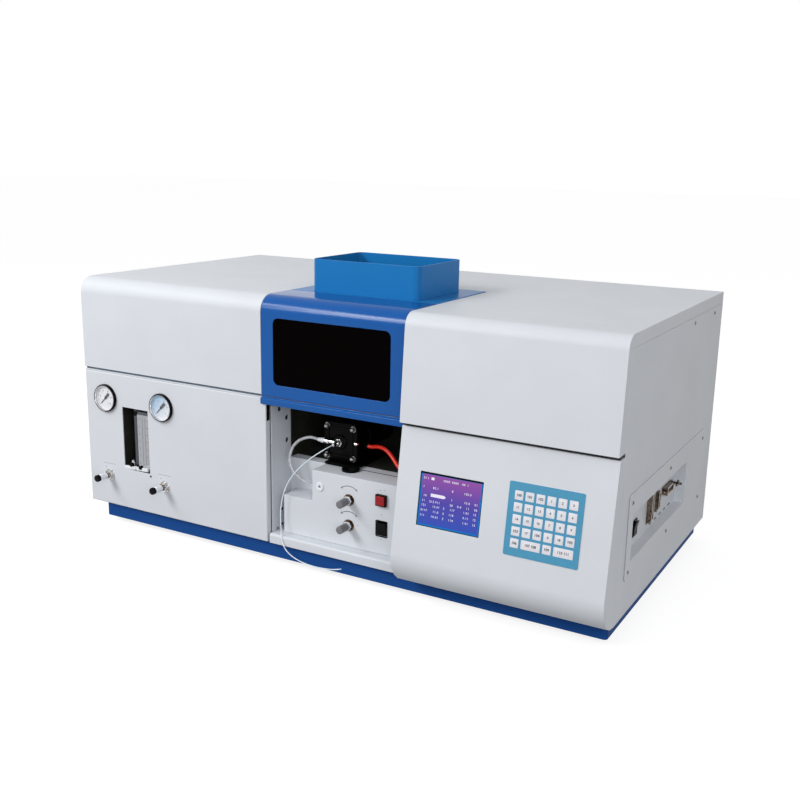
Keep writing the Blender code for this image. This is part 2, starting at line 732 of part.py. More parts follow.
def leaning_front():
    """The lower right panel's outline from its top flange to its bottom flange, as (y, z)."""
    slope = math.sqrt(1 + RIGHT_LEAN_SHARE**2)
    tangent_z = CASE_BOTTOM + RIGHT_CURL + RIGHT_LEAN_SHARE * RIGHT_CURL / slope
    tangent_y = -RIGHT_TOP_SETOUT - RIGHT_LEAN_SHARE * (LOWER_TOP - tangent_z)
    centre = (tangent_y + RIGHT_CURL / slope, CASE_BOTTOM + RIGHT_CURL)
    start = 180 - math.degrees(math.atan(RIGHT_LEAN_SHARE))
    outline = [(-GAP, LOWER_TOP), (-RIGHT_TOP_SETOUT, LOWER_TOP)]
    outline += arc(centre, RIGHT_CURL, start, 270)
    return outline + [(-GAP, CASE_BOTTOM)]


def lid_front():
    """The right lid's outline from its lower front edge to its rear edge, as (y, z)."""
    slope = math.sqrt(1 + LID_LEAN_SHARE**2)
    centre_z = BODY_TOP - LID_FILLET
    tangent_z = centre_z + LID_LEAN_SHARE * LID_FILLET / slope
    tangent_y = -LID_SETOUT + LID_LEAN_SHARE * (tangent_z - UPPER_BOTTOM)
    centre = (tangent_y + LID_FILLET / slope, centre_z)
    start = 180 - math.degrees(math.atan(LID_LEAN_SHARE))
    outline = [(-LID_SETOUT, UPPER_BOTTOM)] + arc(centre, LID_FILLET, start, 90)
    return outline + [(TOP_SEAM_Y - PANEL_GAP / 2, BODY_TOP)]


def upright_front(bottom, back):
    """A flat front with a round top edge and a flat top, as (y, z)."""
    corner = arc((TOP_FILLET, BODY_TOP - TOP_FILLET), TOP_FILLET, 180, 90)
    return [(0, bottom)] + corner + [(back, BODY_TOP)]


FRONT_MOST = -min(point[0] for point in leaning_front())
FRONT_Y = (FRONT_MOST - REAR_MOST) / 2
CABINET = bpy.data.objects.new("cabinet_origin", None)
CABINET.location = (0, FRONT_Y, FOOT_HEIGHT)
bpy.context.scene.collection.objects.link(CABINET)


def base_and_feet():
    low = (X_LEFT + BASE_INSET_LEFT, BASE_INSET_FRONT)
    high = (X_RIGHT - BASE_INSET_RIGHT, BODY_DEPTH - BASE_INSET_REAR)
    inner_low = (low[0] + SHEET, low[1] + SHEET)
    inner_high = (high[0] - SHEET, high[1] - SHEET)
    tray = make("base_plinth", slab(rounded(low, high, BASE_CORNER), "z", 0, BASE_HEIGHT), DARK_BLUE_PAINT)
    hollow = rounded(inner_low, inner_high, BASE_CORNER - SHEET)
    cut(tray, slab(hollow, "z", -OVERRUN, BASE_HEIGHT - SHEET))
    stem_top = FOOT_HEIGHT + BASE_HEIGHT - SHEET - GAP
    profile = [
        (0, 0),
        (FOOT_RADIUS - FOOT_ROUND, 0),
        (FOOT_RADIUS, FOOT_ROUND),
        (FOOT_RADIUS, FOOT_HEIGHT - GAP),
        (FOOT_STEM_RADIUS, FOOT_HEIGHT - GAP),
        (FOOT_STEM_RADIUS, stem_top),
        (0, stem_top),
    ]
    for side, x in (("left", low[0] + FOOT_INSET), ("right", high[0] - FOOT_INSET)):
        for end, y in (("front", low[1] + FOOT_INSET), ("rear", high[1] - FOOT_INSET)):
            foot = turned(profile, (x, y, -FOOT_HEIGHT), steps=SMALL_STEPS)
            make(f"foot_{end}_{side}", foot, RUBBER, smooth=True)


def side_panels():
    top = LIP_BOTTOM - GAP
    left_outline = [
        (X_LEFT, CASE_BOTTOM),
        (X_LEFT + BASE_INSET_LEFT + FLANGE, CASE_BOTTOM),
        (X_LEFT + BASE_INSET_LEFT + FLANGE, CASE_BOTTOM + SHEET),
        (X_LEFT + SHEET, CASE_BOTTOM + SHEET),
        (X_LEFT + SHEET, top),
        (X_LEFT, top),
    ]
    left_sheet = slab(left_outline, "y", PAN_DEPTH + GAP, REAR_INNER - GAP)
    make("left_side_panel", left_sheet, WHITE_PAINT)
    right_outline = [
        (X_RIGHT, CASE_BOTTOM),
        (X_RIGHT, top),
        (X_RIGHT - SHEET, top),
        (X_RIGHT - SHEET, CASE_BOTTOM + SHEET),
        (X_RIGHT - BASE_INSET_RIGHT - FLANGE, CASE_BOTTOM + SHEET),
        (X_RIGHT - BASE_INSET_RIGHT - FLANGE, CASE_BOTTOM),
    ]
    panel = make("right_side_panel", slab(right_outline, "y", 0, REAR_INNER - GAP), WHITE_PAINT)
    opening_low = (RECESS_FRONT - RECESS_WALL - GAP, RECESS_BOTTOM - RECESS_WALL - GAP)
    opening_high = (RECESS_REAR + RECESS_WALL + GAP, RECESS_TOP + RECESS_WALL + GAP)
    opening = rectangle(opening_low, opening_high)
    cut(panel, slab(opening, "x", X_RIGHT - OVERRUN, X_RIGHT + OVERRUN))


def rear_panel():
    """The back sheet with its bottom flange, mains inlet, gas inlets and the fan's guard and pin."""
    step_left, step_right = X_LEFT + SHEET + GAP, X_RIGHT - SHEET - GAP
    shoulder, top = LIP_BOTTOM - GAP, BODY_TOP - SHEET - GAP
    plate = [(X_LEFT, CASE_BOTTOM), (X_RIGHT, CASE_BOTTOM), (X_RIGHT, shoulder), (step_right, shoulder)]
    plate += [(step_right, top), (step_left, top), (step_left, shoulder), (X_LEFT, shoulder)]
    panel = make("rear_panel", slab(plate, "y", REAR_INNER, BODY_DEPTH), WHITE_PAINT)
    middle = BODY_DEPTH - SHEET / 2
    flange_left = X_LEFT + BASE_INSET_LEFT + FLANGE + PANEL_GAP
    flange_right = X_RIGHT - BASE_INSET_RIGHT - FLANGE - PANEL_GAP
    flange_low = (flange_left, REAR_INNER - FLANGE, CASE_BOTTOM)
    fuse(panel, block(flange_low, (flange_right, middle, CASE_BOTTOM + SHEET)))
    mains_inlet(panel, middle)
    for number in range(GAS_INLETS):
        gas_inlet(panel, X_LEFT + GAS_INLET_FROM_LEFT + number * GAS_INLET_PITCH, middle)
    fan_guard(panel)
    fuse(panel, rod(FAN_PIN_RADIUS, (FAN_X, middle, FAN_Z), -BACKWARD, FAN_PIN_LENGTH, SMALL_STEPS))


def mains_inlet(panel, middle):
    centre = (INLET_X, INLET_Z)
    cup_start = REAR_INNER - INLET_DEPTH
    cup = around(centre, INLET_WIDTH, INLET_HEIGHT, INLET_WALL, INLET_WALL)
    fuse(panel, slab(cup, "y", cup_start, middle))
    floor = cup_start + INLET_WALL
    cut(panel, slab(around(centre, INLET_WIDTH, INLET_HEIGHT), "y", floor, BODY_DEPTH + OVERRUN))
    for side in (-1, 0, 1):
        drop = PIN_WIDTH / 2 if side else -PIN_WIDTH / 2
        pin = around((INLET_X + side * PIN_SPREAD, INLET_Z - drop), PIN_THICKNESS, PIN_WIDTH)
        fuse(panel, slab(pin, "y", floor - INLET_WALL / 2, floor + PIN_LENGTH))


def gas_inlet(panel, x, middle):
    nut_end = SHEET / 2 + GAS_NUT_LENGTH
    end = nut_end + GAS_NIPPLE_LENGTH
    profile = [
        (0, 0),
        (GAS_NUT_RADIUS, 0),
        (GAS_NUT_RADIUS, nut_end),
        (GAS_NIPPLE_RADIUS, nut_end),
        (GAS_NIPPLE_RADIUS, end),
        (0, end),
    ]
    fuse(panel, turned(profile, (x, middle, GAS_INLET_Z), BACKWARD, SMALL_STEPS))


def fan_guard(panel):
    """Slots across a round field, left whole over the fan's hub."""
    for number in range(FAN_SLOTS):
        height = (number - (FAN_SLOTS - 1) / 2) * FAN_SLOT_PITCH
        reach = math.sqrt(FAN_RADIUS**2 - height**2) - FAN_SLOT_INSET
        low, high = FAN_Z + height - FAN_SLOT_HEIGHT / 2, FAN_Z + height + FAN_SLOT_HEIGHT / 2
        runs = [(FAN_X - reach, FAN_X + reach)]
        if abs(height) < FAN_HUB_RADIUS:
            runs = [(FAN_X - reach, FAN_X - FAN_HUB_RADIUS), (FAN_X + FAN_HUB_RADIUS, FAN_X + reach)]
        for left, right in runs:
            slot = rectangle((left, low), (right, high))
            cut(panel, slab(slot, "y", REAR_INNER - OVERRUN, BODY_DEPTH + OVERRUN))


def fan_rotor():
    centre = (FAN_X, REAR_INNER - FAN_HUB_GAP, FAN_Z)
    bore = FAN_PIN_RADIUS + RUNNING_CLEARANCE
    depth = FAN_PIN_LENGTH + PANEL_GAP
    profile = [
        (bore, 0),
        (FAN_HUB_RADIUS, 0),
        (FAN_HUB_RADIUS, FAN_DEPTH),
        (0, FAN_DEPTH),
        (0, depth),
        (bore, depth),
    ]
    hub = turned(profile, centre, -BACKWARD, closed=True)
    rotor = make("fan_rotor", hub, BLACK_PLASTIC, pivot=centre)
    for number in range(FAN_BLADES):
        low = (-FAN_BLADE_THICKNESS / 2, -FAN_BLADE_DEPTH / 2, FAN_HUB_RADIUS - SHEET)
        high = (FAN_BLADE_THICKNESS / 2, FAN_BLADE_DEPTH / 2, FAN_HUB_RADIUS + FAN_BLADE_LENGTH)
        blade = block(low, high)
        spin = Matrix.Rotation(math.tau * number / FAN_BLADES, 4, "Y")
        lean = Matrix.Rotation(FAN_BLADE_PITCH, 4, "Z")
        middle = Matrix.Translation((FAN_X, REAR_INNER - FAN_HUB_GAP - FAN_DEPTH / 2, FAN_Z))
        blade.transform(middle @ spin @ lean)
        fuse(rotor, blade)


def left_front_panel():
    """A pan with eased front edges, open behind, holed for the gauges, the valves and the flowmeter."""
    low = (X_LEFT, 0, CASE_BOTTOM)
    high = (PAN_RIGHT, PAN_DEPTH, LOWER_TOP)
    shape = block(low, high)
    front = [edge for edge in shape.edges if all(vert.co.y < GAP for vert in edge.verts)]
    bmesh.ops.bevel(
        shape, geom=front, offset=EDGE_ROUND, segments=EDGE_SEGMENTS, profile=0.5, affect="EDGES"
    )
    panel = make("left_front_panel", shape, WHITE_PAINT, smooth=True)
    hollow_low = (low[0] + SHEET, SHEET, low[2] + SHEET)
    cut(panel, block(hollow_low, (high[0] - SHEET, high[1] + OVERRUN, high[2] - SHEET)))
    window_low = (X_LEFT + FLOW_WINDOW_LEFT, FLOW_WINDOW_BOTTOM)
    window_high = (window_low[0] + FLOW_WINDOW_WIDTH, window_low[1] + FLOW_WINDOW_HEIGHT)
    cut(panel, slab(rectangle(window_low, window_high), "y", -OVERRUN, OVERRUN))
    for x in (GAUGE_LEFT_X, GAUGE_RIGHT_X):
        cut(panel, drill(GAUGE_CASE_RADIUS + GAP, (X_LEFT + x, 0, GAUGE_Z), BACKWARD))
    for x in (VALVE_LEFT_X, VALVE_RIGHT_X):
        cut(panel, drill(VALVE_BODY_RADIUS + GAP, (X_LEFT + x, 0, VALVE_Z), BACKWARD, SMALL_STEPS))


def gauge(side, x):
    """A round gauge: cup-shaped case with a rim, balanced needle on the dial, lens in the rim."""
    place = (X_LEFT + x, 0, GAUGE_Z)
    dial = -GAUGE_PROUD + LENS_THICKNESS + DIAL_DEPTH + NEEDLE_HUB_HEIGHT + GAP
    inner = GAUGE_RADIUS - GAUGE_RIM
    profile = [
        (0, dial),
        (inner - GAUGE_WALL, dial),
        (inner - GAUGE_WALL, -GAUGE_PROUD + LENS_THICKNESS + GAP),
        (inner, -GAUGE_PROUD + LENS_THICKNESS + GAP),
        (inner, -GAUGE_PROUD + LENS_THICKNESS / 2),
        (GAUGE_RADIUS - GAUGE_RIM / 2, -GAUGE_PROUD),
        (GAUGE_RADIUS, -GAUGE_PROUD + GAUGE_WALL),
        (GAUGE_RADIUS, -GAP),
        (GAUGE_CASE_RADIUS, -GAP),
        (GAUGE_CASE_RADIUS, GAUGE_CASE_DEPTH),
        (0, GAUGE_CASE_DEPTH),
    ]
    make(f"{side}_gauge_case", turned(profile, place, BACKWARD), CHROME, smooth=True)
    lens_place = (place[0], -GAUGE_PROUD + GAP, place[2])
    lens = rod(inner - GAP, lens_place, BACKWARD, LENS_THICKNESS - GAP)
    make(f"{side}_gauge_lens", lens, CLEAR_GLASS, smooth=True)
    centre = Vector((place[0], dial - GAP, place[2]))
    outline = [
        (-NEEDLE_TAIL_WIDTH / 2, -NEEDLE_TAIL),
        (NEEDLE_TAIL_WIDTH / 2, -NEEDLE_TAIL),
        (NEEDLE_WIDTH / 2, 0),
        (NEEDLE_TIP_WIDTH / 2, NEEDLE_LENGTH),
        (-NEEDLE_TIP_WIDTH / 2, NEEDLE_LENGTH),
        (-NEEDLE_WIDTH / 2, 0),
    ]
    pointer = slab(outline, "y", -NEEDLE_THICKNESS, 0)
    pointer.transform(Matrix.Translation(centre) @ Matrix.Rotation(NEEDLE_ANGLE, 4, "Y"))
    needle = make(f"{side}_gauge_needle", pointer, BLACK_PLASTIC, pivot=centre)
    fuse(needle, rod(NEEDLE_HUB_RADIUS, centre, -BACKWARD, NEEDLE_HUB_HEIGHT, SMALL_STEPS))


def flowmeter():
    """A recessed box behind the panel's window, with a bored clear block on its right and a float in it."""
    left = X_LEFT + FLOW_WINDOW_LEFT
    right = left + FLOW_WINDOW_WIDTH
    top = FLOW_WINDOW_BOTTOM + FLOW_WINDOW_HEIGHT
    start = SHEET + GAP
    back = start + FLOW_RECESS_DEPTH
    shell = block((left - SHEET, start, FLOW_WINDOW_BOTTOM - SHEET), (right + SHEET, back, top + SHEET))
    recess = make("flowmeter_recess", shell, BLACK_PAINT)
    cut(recess, block((left, start - OVERRUN, FLOW_WINDOW_BOTTOM), (right, back - SHEET, top)))
    block_right = right - GAP
    block_left = block_right - FLOW_BLOCK_WIDTH
    block_back = FLOW_BLOCK_SETBACK + FLOW_BLOCK_DEPTH
    bottom = FLOW_WINDOW_BOTTOM + FLOW_FOOT_HEIGHT + GAP
    foot_low = (block_left, FLOW_BLOCK_SETBACK, FLOW_WINDOW_BOTTOM - SHEET / 2)
    fuse(recess, block(foot_low, (right + SHEET / 2, block_back, bottom - GAP)))
    block_low = (block_left, FLOW_BLOCK_SETBACK, bottom)
    clear = block(block_low, (block_right, block_back, bottom + FLOW_BLOCK_HEIGHT))
    acrylic = make("flowmeter_block", clear, ACRYLIC)
    place = ((block_left + block_right) / 2, (FLOW_BLOCK_SETBACK + block_back) / 2, bottom)
    cut(acrylic, drill(FLOW_BORE_RADIUS, place, UP, SMALL_STEPS, FLOW_BLOCK_HEIGHT))
    profile = [
        (0, 0),
        (FLOAT_RADIUS / 2, 0),
        (FLOAT_RADIUS, FLOAT_HEIGHT / 2),
        (FLOAT_RADIUS, FLOAT_HEIGHT),
        (0, FLOAT_HEIGHT),
    ]
    bob = turned(profile, place, UP, SMALL_STEPS)
    make("flowmeter_float", bob, STEEL, pivot=place, smooth=True)


def needle_valve(side, x):
    """A valve body held by a hexagon nut, and its knob on a stem that runs in the body's bore."""
    place = (X_LEFT + x, 0, VALVE_Z)
    front = -(GAP + VALVE_NUT_LENGTH + VALVE_COLLAR_LENGTH)
    nut_start = (place[0], -GAP, place[2])
    nut = rod(VALVE_NUT_RADIUS, nut_start, -BACKWARD, VALVE_NUT_LENGTH, HEX)
    body = make(f"{side}_valve_body", nut, CHROME)
    collar = rod(VALVE_COLLAR_RADIUS, (place[0], front, place[2]), BACKWARD, VALVE_COLLAR_LENGTH + SHEET)
    barrel = rod(VALVE_BODY_RADIUS, (place[0], -SHEET, place[2]), BACKWARD, VALVE_BODY_LENGTH, SMALL_STEPS)
    fuse(body, collar, barrel)
    bore_length = OVERRUN + VALVE_STEM_INSIDE + PANEL_GAP
    bore_start = (place[0], front - OVERRUN, place[2])
    cut(body, rod(VALVE_STEM_RADIUS + RUNNING_CLEARANCE, bore_start, BACKWARD, bore_length, SMALL_STEPS))
    seat = (place[0], front - GAP, place[2])
    profile = [
        (0, -VALVE_STEM_INSIDE),
        (VALVE_STEM_RADIUS, -VALVE_STEM_INSIDE),
        (VALVE_STEM_RADIUS, 0),
        (VALVE_KNOB_RADIUS - VALVE_KNOB_EASE, 0),
        (VALVE_KNOB_RADIUS, VALVE_KNOB_EASE),
        (VALVE_KNOB_RADIUS, VALVE_KNOB_LENGTH),
        (0, VALVE_KNOB_LENGTH),
    ]
    knob = turned(profile, seat, -BACKWARD)
    make(f"{side}_valve_knob", knob, GREY_PLASTIC, pivot=seat, smooth=True)


def left_top_cover():
    outer = upright_front(UPPER_BOTTOM, BODY_DEPTH)
    right = HOOD_LEFT - PANEL_GAP / 2
    body = outer + [(BODY_DEPTH, LIP_BOTTOM), (PAN_DEPTH, LIP_BOTTOM), (PAN_DEPTH, UPPER_BOTTOM)]
    hinge = (0, BODY_DEPTH, BODY_TOP)
    cover = make("left_top_cover", slab(body, "x", X_LEFT, right), WHITE_PAINT, pivot=hinge, smooth=True)
    line = inset(outer, SHEET)
    line[0] = (line[0][0], UPPER_BOTTOM - OVERRUN)
    line[-1] = (BODY_DEPTH + OVERRUN, line[-1][1])
    hollow = line + [(BODY_DEPTH + OVERRUN, UPPER_BOTTOM - OVERRUN)]
    cut(cover, slab(hollow, "x", X_LEFT + SHEET, right + OVERRUN))


def right_top_lid():
    outer = lid_front()
    back = outer[-1][0]
    body = outer + [(back, LIP_BOTTOM), (-GAP, LIP_BOTTOM), (-GAP, UPPER_BOTTOM)]
    hinge = (0, back, BODY_TOP)
    shape = slab(body, "x", RIGHT_LEFT_X, X_RIGHT)
    lid = make("right_top_lid", shape, WHITE_PAINT, pivot=hinge, smooth=True)
    line = inset(outer, SHEET)
    line[0] = (line[0][0] - LID_LEAN_SHARE * OVERRUN, UPPER_BOTTOM - OVERRUN)
    line[-1] = (back + OVERRUN, line[-1][1])
    hollow = line + [(back + OVERRUN, UPPER_BOTTOM - OVERRUN)]
    cut(lid, slab(hollow, "x", RIGHT_LEFT_X + SHEET, X_RIGHT - SHEET))


def panel_place(across, down, out=0):
    """A point on the leaning panel: across from its left edge, down its slope, out from its face."""
    slope = math.sqrt(1 + RIGHT_LEAN_SHARE**2)
    along = Vector((0, -RIGHT_LEAN_SHARE, -1)) / slope
    outward = Vector((0, -1, RIGHT_LEAN_SHARE)) / slope
    corner = Vector((RIGHT_LEFT_X, -RIGHT_TOP_SETOUT, LOWER_TOP))
    return corner + Vector((across, 0, 0)) + along * down + outward * out


def on_panel(shape, across, down):
    """Moves a shape drawn flat (x right, z up, -y outward) onto the leaning panel."""
    turn = Matrix.Rotation(-math.atan(RIGHT_LEAN_SHARE), 4, "X")
    shape.transform(Matrix.Translation(panel_place(across, down)) @ turn)
    return shape


def right_front_panel():
    outer = leaning_front()
    panel = make("right_front_panel", slab(outer, "x", RIGHT_LEFT_X, X_RIGHT), WHITE_PAINT, smooth=True)
    line = inset(outer, -SHEET)
    line[0] = (OVERRUN, line[0][1])
    line[-1] = (OVERRUN, line[-1][1])
    cut(panel, slab(line, "x", RIGHT_LEFT_X + SHEET, X_RIGHT - SHEET))
    opening = rectangle((0, -SCREEN_HEIGHT), (SCREEN_WIDTH, 0))
    cut(panel, on_panel(slab(opening, "y", -OVERRUN, OVERRUN), SCREEN_X, SCREEN_DOWN))


def display_and_keypad():
    glass = rectangle((GAP, -SCREEN_HEIGHT + GAP), (SCREEN_WIDTH - GAP, -GAP))
    display = on_panel(slab(glass, "y", SCREEN_RECESS, SCREEN_THICKNESS), SCREEN_X, SCREEN_DOWN)
    module = make("display_module", display, DISPLAY)
    back_low = (-SCREEN_FRAME, -SCREEN_HEIGHT - SCREEN_FRAME)
    back_high = (SCREEN_WIDTH + SCREEN_FRAME, SCREEN_FRAME)
    fuse(module, on_panel(slab(rectangle(back_low, back_high), "y", SHEET + GAP, SCREEN_THICKNESS - GAP),
                          SCREEN_X, SCREEN_DOWN))
    film = rounded((0, -KEYPAD_HEIGHT), (KEYPAD_WIDTH, 0), KEYPAD_CORNER, KEYPAD_STEPS)
    sheet = on_panel(slab(film, "y", -KEYPAD_THICKNESS, -GAP), KEYPAD_X, KEYPAD_DOWN)
    keypad = make("keypad_membrane", sheet, TEAL_FILM)
    margin_x = (KEYPAD_WIDTH - (KEY_COLUMNS - 1) * KEY_PITCH - KEY_SIZE) / 2
    margin_z = (KEYPAD_HEIGHT - (KEY_ROWS - 1) * KEY_PITCH - KEY_SIZE) / 2
    for row in range(KEY_ROWS):
        last = row == KEY_ROWS - 1
        for column in range(KEY_COLUMNS):
            if last and column - 1 in KEY_DOUBLE_COLUMNS:
                continue
            left = margin_x + column * KEY_PITCH
            top = -margin_z - row * KEY_PITCH
            width = KEY_SIZE + KEY_PITCH if last and column in KEY_DOUBLE_COLUMNS else KEY_SIZE
            key = rectangle((left, top - KEY_SIZE), (left + width, top))
            key_shape = slab(key, "y", -KEYPAD_THICKNESS - KEY_RISE, -KEYPAD_THICKNESS + GAP)
            fuse(keypad, on_panel(key_shape, KEYPAD_X, KEYPAD_DOWN))


def rear_top_panel():
    left = HOOD_LEFT + PANEL_GAP / 2
    outline = [
        (left, BODY_TOP),
        (X_RIGHT, BODY_TOP),
        (X_RIGHT, LIP_BOTTOM),
        (X_RIGHT - SHEET, LIP_BOTTOM),
        (X_RIGHT - SHEET, BODY_TOP - SHEET),
        (left, BODY_TOP - SHEET),
    ]
    make("rear_top_panel", slab(outline, "y", TOP_SEAM_Y + PANEL_GAP / 2, BODY_DEPTH), WHITE_PAINT)


def hood_and_chimney():
    """The blue plate behind the visor, and the chimney that drops through its hole."""
    left = HOOD_LEFT + PANEL_GAP / 2
    low = (CHIMNEY_LEFT, CHIMNEY_FRONT)
    high = (low[0] + CHIMNEY_WIDTH, low[1] + CHIMNEY_DEPTH)
    top_low = (left, VISOR_DEPTH + PANEL_GAP, BODY_TOP - SHEET)
    top_high = (HOOD_RIGHT - GAP, TOP_SEAM_Y - PANEL_GAP / 2, BODY_TOP)
    plate = make("hood_top_plate", block(top_low, top_high), BLUE_PAINT)
    hole = rounded((low[0] - GAP, low[1] - GAP), (high[0] + GAP, high[1] + GAP), CHIMNEY_CORNER)
    cut(plate, slab(hole, "z", BODY_TOP - OVERRUN, BODY_TOP + OVERRUN))
    bottom, top = BODY_TOP - CHIMNEY_SKIRT, BODY_TOP + CHIMNEY_HEIGHT
    duct = slab(rounded(low, high, CHIMNEY_CORNER), "z", bottom, top)
    chimney = make("chimney_duct", duct, BLUE_PAINT, smooth=True)
    inner_low = (low[0] + SHEET, low[1] + SHEET)
    inner = rounded(inner_low, (high[0] - SHEET, high[1] - SHEET), CHIMNEY_CORNER - SHEET)
    cut(chimney, slab(inner, "z", bottom - OVERRUN, top + OVERRUN))


def visor():
    lip_top = VISOR_BOTTOM + VISOR_LIP_HEIGHT
    outer = [(-GAP, VISOR_BOTTOM), (-VISOR_LIP_OUT, VISOR_BOTTOM), (-VISOR_LIP_OUT, lip_top)]
    outer += [(0, lip_top + VISOR_STEP)] + upright_front(lip_top, VISOR_DEPTH)[1:]
    outline = outer + inset(outer, SHEET)[::-1]
    hinge = (0, VISOR_DEPTH, BODY_TOP)
    shell = slab(outline, "x", HOOD_LEFT + PANEL_GAP / 2, HOOD_RIGHT - GAP)
    hood = make("visor", shell, BLUE_PAINT, pivot=hinge, smooth=True)
    low = (WINDOW_LEFT, WINDOW_TOP - WINDOW_HEIGHT)
    high = (WINDOW_LEFT + WINDOW_WIDTH, WINDOW_TOP)
    cut(hood, slab(rounded(low, high, WINDOW_CORNER), "y", -OVERRUN, OVERRUN))
    pane = rounded((low[0] + GAP, low[1] + GAP), (high[0] - GAP, high[1] - GAP), WINDOW_CORNER - GAP)
    make("visor_window", slab(pane, "y", GAP, GAP + WINDOW_THICKNESS), SMOKED_GLASS, pivot=hinge)


def bulkheads():
    """The two upright sheets beside the burner bay, flanged where they carry the covers and the floor."""
    top = BODY_TOP - SHEET - GAP
    back = REAR_INNER - GAP
    flange_front = REAR_INNER - FLANGE - PANEL_GAP
    outline = [
        (BULKHEAD_START, BULKHEAD_NOTCH_Z),
        (BULKHEAD_NOTCH_Y, BULKHEAD_NOTCH_Z),
        (BULKHEAD_NOTCH_Y, LINER_TOP),
        (BULKHEAD_NOTCH_Y + BULKHEAD_CHAMFER, top),
        (back, top),
        (back, CASE_BOTTOM + SHEET + GAP),
        (flange_front, CASE_BOTTOM + SHEET + GAP),
        (flange_front, CASE_BOTTOM),
        (BULKHEAD_START, CASE_BOTTOM),
    ]
    left = make("left_bulkhead", slab(outline, "x", BAY_LEFT - SHEET, BAY_LEFT), WHITE_PAINT)
    right = make("right_bulkhead", slab(outline, "x", HOOD_RIGHT, HOOD_RIGHT + SHEET), WHITE_PAINT)
    top_low = (HOOD_LEFT - FLANGE / 2, BULKHEAD_FLANGE_Y, top - SHEET)
    foot_low = (BAY_LEFT - FLANGE, PAN_DEPTH + FLANGE, CASE_BOTTOM)
    foot_high = (BAY_LEFT - SHEET / 2, flange_front, CASE_BOTTOM + SHEET)
    fuse(left, block(top_low, (BAY_LEFT - SHEET / 2, back, top)), block(foot_low, foot_high))
    right_low = (HOOD_RIGHT - FLANGE, TOP_SEAM_Y + PANEL_GAP, top - SHEET)
    fuse(right, block(right_low, (HOOD_RIGHT + SHEET / 2, back, top)))
    for wall, x in ((left, BAY_LEFT), (right, HOOD_RIGHT)):
        cut(wall, drill(BEAM_HOLE_RADIUS, (x, BURNER_Y, BEAM_Z), RIGHTWARD))
    for y, z in SMALL_HOLES:
        cut(left, drill(SMALL_HOLE_RADIUS, (BAY_LEFT, y, z), RIGHTWARD, SMALL_STEPS))


def bay_liner():
    """The black tray and walls round the burner, open in front and above, holed for the light beam."""
    left = BAY_LEFT + GAP
    right = HOOD_RIGHT - GAP
    shell = block((left, LINER_START, DECK_Z - SHEET), (right, LINER_BACK, LINER_TOP))
    liner = make("burner_bay_liner", shell, BLACK_PAINT)
    hollow_high = (right - SHEET, LINER_BACK - SHEET, LINER_TOP + OVERRUN)
    cut(liner, block((left + SHEET, LINER_START - OVERRUN, DECK_Z), hollow_high))
    for x in (left, right):
        cut(liner, drill(BEAM_HOLE_RADIUS, (x, BURNER_Y, BEAM_Z), RIGHTWARD))


def bay_sill():
    outer = [(0, CASE_BOTTOM)] + arc((SILL_ROUND, SILL_TOP - SILL_ROUND), SILL_ROUND, 180, 90, EDGE_SEGMENTS)
    outer += [(SILL_DEPTH, SILL_TOP)]
    outline = outer + inset(outer, SHEET)[::-1]
    make("bay_sill", slab(outline, "x", BAY_LEFT + GAP, HOOD_RIGHT - GAP), WHITE_PAINT, smooth=True)


def box_outline(wall):
    """The control box from in front, with its upper left corner cut away, as (x, z)."""
    left, right = BOX_LEFT + wall, HOOD_RIGHT - GAP - wall
    bottom, top = BOX_BOTTOM + wall, BOX_TOP - wall
    notch = (BOX_LEFT + NOTCH_WIDTH + wall, BOX_TOP - NOTCH_HEIGHT - wall)
    lower = [(left, bottom), (right, bottom), (right, top)]
    return lower + [(notch[0], top), notch, (left, notch[1])]


def control_box():
    box = make("control_box", slab(box_outline(0), "y", BOX_SETBACK, BOX_BACK), WHITE_PAINT, smooth=True)
    cut(box, slab(box_outline(SHEET), "y", BOX_SETBACK + SHEET, BOX_BACK + OVERRUN))
    middle = BOX_SETBACK + SHEET / 2
    front, back = BOX_SETBACK - OVERRUN, BOX_SETBACK + OVERRUN
    for z in (HEIGHT_KNOB_Z, TRAVERSE_KNOB_Z):
        place = (KNOB_X, middle, SILL_TOP + z)
        fuse(box, rod(BUSH_RADIUS, place, -BACKWARD, SHEET / 2 + BUSH_LENGTH, HEX))
        bush_front = (place[0], BOX_SETBACK - BUSH_LENGTH, place[2])
        bore = KNOB_SHAFT_RADIUS + RUNNING_CLEARANCE
        cut(box, drill(bore, bush_front, BACKWARD, SMALL_STEPS, BUSH_LENGTH))
    boss = (SOCKET_X, middle, SILL_TOP + SOCKET_Z)
    fuse(box, rod(SOCKET_RADIUS, boss, -BACKWARD, SHEET / 2 + SOCKET_PROUD, SMALL_STEPS))
    cut(box, drill(SOCKET_BORE, boss, BACKWARD, SMALL_STEPS))
    centre = (SWITCH_X, SILL_TOP + SWITCH_Z)
    square = around(centre, SWITCH_SIZE - SWITCH_RIM, SWITCH_SIZE - SWITCH_RIM, GAP, GAP)
    cut(box, slab(square, "y", front, back))
    centre = (SWITCH_X, SILL_TOP + ROCKER_Z)
    opening = around(centre, ROCKER_WIDTH, ROCKER_HEIGHT, ROCKER_SIDE_CLEARANCE, ROCKER_CLEARANCE)
    cut(box, slab(opening, "y", front, back))
    cut(box, drill(POST_RADIUS + POST_HOLE_CLEARANCE, (POST_X, POST_Y, BOX_TOP), UP, SMALL_STEPS))


